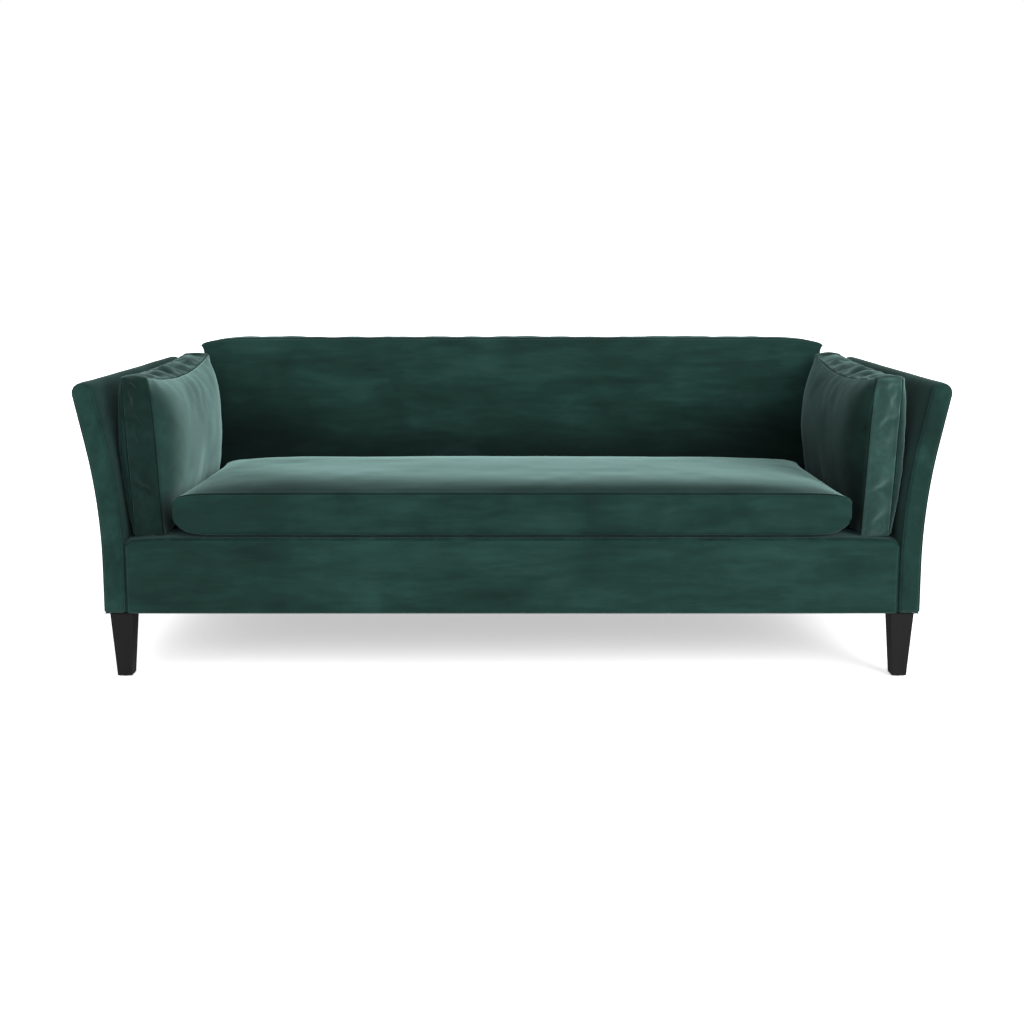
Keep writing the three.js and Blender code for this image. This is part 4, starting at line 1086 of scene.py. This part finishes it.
        def frame_at(t):
            centre = surface(t, 0.0)
            along = surface(t + 0.004, 0.0) - surface(t - 0.004, 0.0)
            across = surface(t, 0.008) - surface(t, -0.008)
            along, across = along / np.linalg.norm(along), across / np.linalg.norm(across)
            out = np.cross(along, across)
            out *= np.sign(np.dot(out, centre - middle)) / np.linalg.norm(out)
            return centre, along, across, out

        return frame_at

    def add_zip(self):
        """Woven tape with a chain of teeth, and a slider with its pull, sunk in the border."""
        frame_at = self.zip_frame()
        end = ZIP_SHARE * self.half[0]
        rings = []
        for k, t in enumerate(np.arange(-end, end, ZIP_STEP)):
            centre, _, across, out = frame_at(t)
            tooth, high = ((0.0031, 0.0013), (0.0023, 0.0008))[k % 2]
            half_ring = [(ZIP_HALF, 0.0001), (ZIP_HALF, 0.0004), (0.0036, 0.0005), (tooth, high)]
            ring = half_ring + [(-a, h) for a, h in half_ring[::-1]]
            rings.append(np.array([centre + a * across + h * out for a, h in ring]))
        piece = new_mesh(f"{self.name}_zip_tape", *loft(rings), ZIP_TAPE, self.name)
        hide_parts(f"{self.name}_zip")
        points, faces = [], []
        for start, stop, half, low, high in SLIDER_BODY, SLIDER_PULL:
            first = len(points)
            for t in (start, stop):
                centre, _, across, out = frame_at(end - SLIDER_FROM_END + t)
                for a, h in ((-half, low), (half, low), (half, high), (-half, high)):
                    points.append(centre + a * across + h * out)
            a, b, c, d, e, f, g, h = range(first, first + 8)
            faces += [(a, b, c, d), (h, g, f, e), (a, e, f, b)]
            faces += [(b, f, g, c), (c, g, h, d), (d, h, e, a)]
        slider = new_mesh(f"{self.name}_zip_slider", points, faces, STEEL, self.name)


UP = np.array([0.0, math.sin(RAKE), math.cos(RAKE)])
FORWARD = np.array([0.0, -math.cos(RAKE), math.sin(RAKE)])

BACK_HEIGHT, BACK_BORDER, BACK_FRONT_CROWN, BACK_REAR_CROWN = 0.447, 0.115, 0.036, 0.010
BACK_HALF = ARM_INNER - 0.036
BACK_BEHIND = GAP + BACK_REAR_CROWN
BACK_FOOT = np.array([0.0, inside_y(DECK), DECK])
BACK_RISE = (GAP - (BACK_BEHIND + BACK_BORDER) * math.sin(RAKE)) / math.cos(RAKE)
BACK_MIDDLE = (
    BACK_FOOT + UP * (BACK_HEIGHT / 2 + BACK_RISE) + FORWARD * (BACK_BEHIND + BACK_BORDER / 2)
)
BACK_SEAMS = (0.016, 0.0, -0.018, 0.007)

# Its front and border carry painted shade low down by the seat; its top border is darker, painted
# shade.
back_cushion = Cushion(
    "back_cushion", 2 * BACK_HALF, BACK_HEIGHT, BACK_BORDER,
    upper_crown=BACK_FRONT_CROWN, upper_powers=(7, 2.4), upper_seams=BACK_SEAMS,
    lower_crown=BACK_REAR_CROWN, lower_powers=(12, 12), lower_seams=BACK_SEAMS,
    end_power=18, ear_power=16, pinch_power=6, side_crown=0.012, step=0.014,
    coarse_step=0.017, spare=0.03, tight=0.01, bend=0.6, keep_folds=0.25,
    fold=0.0009, fold_reach=0.022, soft=0.0022, soft_size=(0.20, 0.13, 0.2), seed=101,
    finishes=(VELVET, VELVET_BACK, VELVET_BACK, VELVET_TOP),
)
back_cushion.place = lambda q: (
    q[:, :1] * (1, 0, 0) + BACK_MIDDLE + q[:, 1:2] * UP + q[:, 2:3] * FORWARD
)


def back_reach(crown):
    return (BACK_BEHIND + BACK_BORDER + crown) / math.cos(RAKE)


ARM_BORDER, ARM_CUSHION_HEIGHT, ARM_IN_CROWN, ARM_OUT_CROWN = 0.080, 0.399, 0.044, 0.022
ARM_CUSHION_INNER = ARM_INNER - 0.012 - ARM_BORDER
ARM_CUSHION_FRONT = FRONT + 0.025
BACK_CROWN_AT_ARM = BACK_FRONT_CROWN * (1 - (ARM_CUSHION_INNER / BACK_HALF) ** 7)
ARM_CUSHION_REAR = inside_y(DECK) - back_reach(BACK_CROWN_AT_ARM) - 0.004 - 0.008
ARM_CUSHION_LENGTH = ARM_CUSHION_REAR - ARM_CUSHION_FRONT
REAR_RISE, REAR_TURN = 0.013, 0.020
FRONT_LEAN, MORE_LEAN = math.radians(3.2), math.radians(1.8)
OUTER_DRAW, OUTER_DRAW_SHARE = 0.011, 0.05


def arm_place(sign):
    """Stands an arm cushion on the platform: it leans on the arm and turns in at the rear."""
    def place(q):
        along = (q[:, 0] + ARM_CUSHION_LENGTH / 2) / ARM_CUSHION_LENGTH
        outer = np.clip(q[:, 2] / ARM_BORDER + 0.5, 0, 1)
        height = q[:, 1] + ARM_CUSHION_HEIGHT / 2
        height = height * (1 + REAR_RISE * along / ARM_CUSHION_HEIGHT)
        lean = np.tan(FRONT_LEAN + MORE_LEAN * along)
        rear = ARM_CUSHION_REAR + height * TAN_IN
        x = ARM_CUSHION_INNER + ARM_BORDER / 2 + q[:, 2] + lean * height - REAR_TURN * along
        x -= OUTER_DRAW * outer * smooth(1 - along / OUTER_DRAW_SHARE)
        y = ARM_CUSHION_FRONT + along * (rear - ARM_CUSHION_FRONT)
        return np.column_stack([sign * x, y, DECK + GAP + height])

    return place


# Creases in the borders at the front: how high, how far across from the inner seam, both as
# shares, then their slant in degrees, length and depth.
LEFT_CREASES = (
    (0.94, 0.55, 35, 0.020, 0.0034), (0.88, 0.80, 60, 0.018, 0.0030),
    (0.80, 0.30, 75, 0.026, 0.0022), (0.70, 0.78, 40, 0.016, 0.0036),
    (0.60, 0.62, 70, 0.030, 0.0022), (0.47, 0.85, 45, 0.014, 0.0034),
    (0.36, 0.45, 80, 0.034, 0.0020), (0.22, 0.72, 60, 0.018, 0.0026),
    (0.12, 0.30, 35, 0.014, 0.0024),
)
RIGHT_CREASES = (
    (0.93, 0.40, 30, 0.018, 0.0032), (0.86, 0.72, 25, 0.018, 0.0036),
    (0.79, 0.55, 40, 0.020, 0.0028), (0.72, 0.82, 50, 0.016, 0.0030),
    (0.62, 0.50, 35, 0.020, 0.0022), (0.50, 0.78, 60, 0.022, 0.0024),
    (0.38, 0.60, 45, 0.018, 0.0020), (0.20, 0.35, 40, 0.014, 0.0026),
    (0.10, 0.50, 25, 0.014, 0.0026),
)
# Lighter and darker velvets per panel: painted light and shade. The right cushion's inner panel faces
# away from the light and is darker, its border lighter; the left cushion's inner panel is lit and its
# border darker.
RIGHT_FINISHES = (VELVET_DARK, VELVET_LIGHT, VELVET_SIDE, VELVET_DEEP)
LEFT_FINISHES = (VELVET_INNER, VELVET_DEEP, VELVET_WELL, VELVET_DEEP)
arm_cushions = []
for side, sign, seed, creases, finishes in (
    ("right", 1, 201, RIGHT_CREASES, RIGHT_FINISHES),
    ("left", -1, 301, LEFT_CREASES, LEFT_FINISHES),
):
    c = Cushion(
        f"{side}_arm_cushion", ARM_CUSHION_LENGTH, ARM_CUSHION_HEIGHT, ARM_BORDER,
        upper_crown=ARM_OUT_CROWN, upper_powers=(14, 2.4), upper_seams=(0.008, 0.0, 0.008, 0.004),
        lower_crown=ARM_IN_CROWN, lower_powers=(7, 2.4), lower_seams=(0.008, 0.0, 0.027, 0.004),
        skew=0.25, end_power=2, ear_power=6, pinch_power=6, side_crown=0.009, end_crown=0.008,
        step=0.010, row_step=0.006, coarse_step=0.0135, spare=0.04, tight=0.02, bend=0.4,
        keep_swell=0.06, keep_folds=1.4, mirror=sign < 0,
        fold=0.0028, fold_reach=0.026, soft=0.0030, soft_size=(0.11, 0.12, 0.11), seed=seed,
        finishes=finishes, creases=creases,
    )
    c.place = arm_place(sign)
    arm_cushions.append(c)

SEAT_HALF = ARM_CUSHION_INNER - 0.034
SEAT_BORDER, SEAT_UPPER, SEAT_LOWER, SEAT_SIDE = 0.106, 0.025, 0.004, 0.005
SEAT_FRONT = FRONT + 0.005 + SEAT_SIDE
SEAT_SEAM = DECK + GAP + SEAT_LOWER + SEAT_BORDER
SEAT_REAR = inside_y(SEAT_SEAM) - back_reach(BACK_FRONT_CROWN) - 0.003 - SEAT_SIDE
SEAT_MIDDLE = np.array(
    [0.0, (SEAT_FRONT + SEAT_REAR) / 2, DECK + GAP + SEAT_LOWER + SEAT_BORDER / 2]
)

# Its lower panel is the dark velvet with little sheen, painted shade; its border and top carry
# painted shade at the front and along the lowest rows.
seat_cushion = Cushion(
    "seat_cushion", 2 * SEAT_HALF, SEAT_REAR - SEAT_FRONT, SEAT_BORDER,
    upper_crown=SEAT_UPPER, upper_powers=(7, 4.5), upper_seams=(0.010, 0.004, 0.004, 0.015),
    lower_crown=SEAT_LOWER, lower_powers=(12, 12), lower_seams=(0.010, 0.004, 0.004, 0.042),
    end_power=36, ear_power=6, pinch_power=0, stands=False, taper=0.005, side_crown=SEAT_SIDE,
    step=0.014, coarse_step=0.017, spare=0.02, tight=0.01, bend=0.6, keep_folds=0.5,
    fold=0.0008, fold_reach=0.018, soft=0.0016, soft_size=(0.24, 0.16, 0.2), seed=401,
    finishes=(VELVET_WELL, VELVET_FRONT, VELVET_SEAT, VELVET_FRONT), zip_side=1,
)
seat_cushion.place = lambda q: q + SEAT_MIDDLE

for c in (seat_cushion, back_cushion, *arm_cushions):
    piece = c.build()
    dressed(piece, "velvet", f"{c.name}_cover", f"{c.name}_core", fill=0.8)
    c.add_zip()
    subdivide(piece)


# Finishes of the CAD nodes

# By words in the nodes' names. The first that fits counts, and other nodes are timber along x.
NODE_FINISHES = {
    "leg_bolt": STEEL, "clip_rail": STEEL, "springs": STEEL, "_leg": BLACK_WOOD, "glider": NYLON,
    "zip": ZIP_TAPE, "webbing": WEBBING, "pad": FOAM, "core": FOAM, "cover": VELVET,
    "post": TIMBER_Z, "side_rail": TIMBER_Y, "cross_rail": TIMBER_Y, "arm_top_rail": TIMBER_Y,
}


def finish_of(name):
    return next((finish for word, finish in NODE_FINISHES.items() if word in name), TIMBER_X)


for name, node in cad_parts.items():
    for slot in node.material_slots:
        slot.material = finish_of(name)
    if name.endswith("_leg"):
        soften = node.modifiers.new("edges", "BEVEL")
        soften.width = 0.0015
        soften.segments = 3
        soften.limit_method = "ANGLE"


# Studio


WHITE = (1, 1, 1, 1)


def studio_floor():
    """White to the camera, and a pale grey to everything that it lights."""
    f = Finish("studio_floor")
    seen = f.add("LightPath", "Is Camera Ray")
    plain = f.add("BsdfDiffuse", Color=f.maths("MULTIPLY_ADD", seen, 0.74, 0.86))
    glow = f.add("Emission", Color=WHITE, Strength=f.maths("MULTIPLY", seen, 0.42))
    both = f.fill(f.nodes.new("ShaderNodeAddShader"), {0: plain, 1: glow})
    f.fill(f.nodes["Material Output"], {"Surface": both.outputs[0]})
    return f.material


REACH = 30
floor_points = [(-REACH, -REACH, 0), (REACH, -REACH, 0), (REACH, REACH, 0), (-REACH, REACH, 0)]
floor = new_mesh("studio_floor", floor_points, [(0, 1, 2, 3)], studio_floor(), None, False)

AMBIENT = 0.45
world = bpy.data.worlds.new("studio")
bpy.context.scene.world = world
world.use_nodes = True
air = Tree(world.node_tree)
seen = air.add("LightPath", "Is Camera Ray")
strength = air.maths("MULTIPLY_ADD", seen, 1 - AMBIENT, AMBIENT)
air.fill(air.nodes["Background"], {"Color": WHITE, "Strength": strength})


def lamp(name, kind, power, towards):
    """A lamp whose light comes from the direction given."""
    data = bpy.data.lights.new(name, kind)
    data.energy = power
    added = add_object(name, data)
    added.rotation_euler = towards.to_track_quat("Z", "Y").to_euler()
    return added


# Far, soft lights that fall evenly on the whole floor
for name, azimuth, elevation, breadth, power in (
    ("key", 44, 22, 50, 1.6), ("fill", -35, 18, 50, 0.5), ("top", 10, 75, 60, 0.6),
):
    a, e = math.radians(azimuth), math.radians(elevation)
    towards = Vector((math.sin(a) * math.cos(e), -math.cos(a) * math.cos(e), math.sin(e)))
    lamp(name, "SUN", power, towards).data.angle = math.radians(breadth)

NEAR_PLACE, NEAR_TARGET = Vector((1.9, FRONT - 1.6, 0.9)), Vector((0.9, FRONT, 0.35))
near = lamp("near", "AREA", 10.0, NEAR_PLACE - NEAR_TARGET)
near.data.shape, near.data.size = "SQUARE", 1.0
near.location = NEAR_PLACE
near.visible_camera = False

# The camera, worked out from the photograph. The last three are in its pixels.
DISTANCE, EYE, PITCH = 3.085, 1.045, 7.256
PHOTO_SIDE, FOCAL, CENTRE_ROW = 1024, 1272, 421
camera_data = bpy.data.cameras.new("camera")
camera = add_object("camera", camera_data)
camera.location = (0.0, FRONT - DISTANCE, EYE)
camera.rotation_euler = (math.radians(90 - PITCH), 0, 0)
camera_data.sensor_width = 36
camera_data.lens = camera_data.sensor_width * FOCAL / PHOTO_SIDE
camera_data.shift_y = -(PHOTO_SIDE / 2 - CENTRE_ROW) / PHOTO_SIDE
camera_data.clip_end = 100
bpy.context.scene.camera = camera
bpy.context.scene.view_settings.view_transform = "Standard"
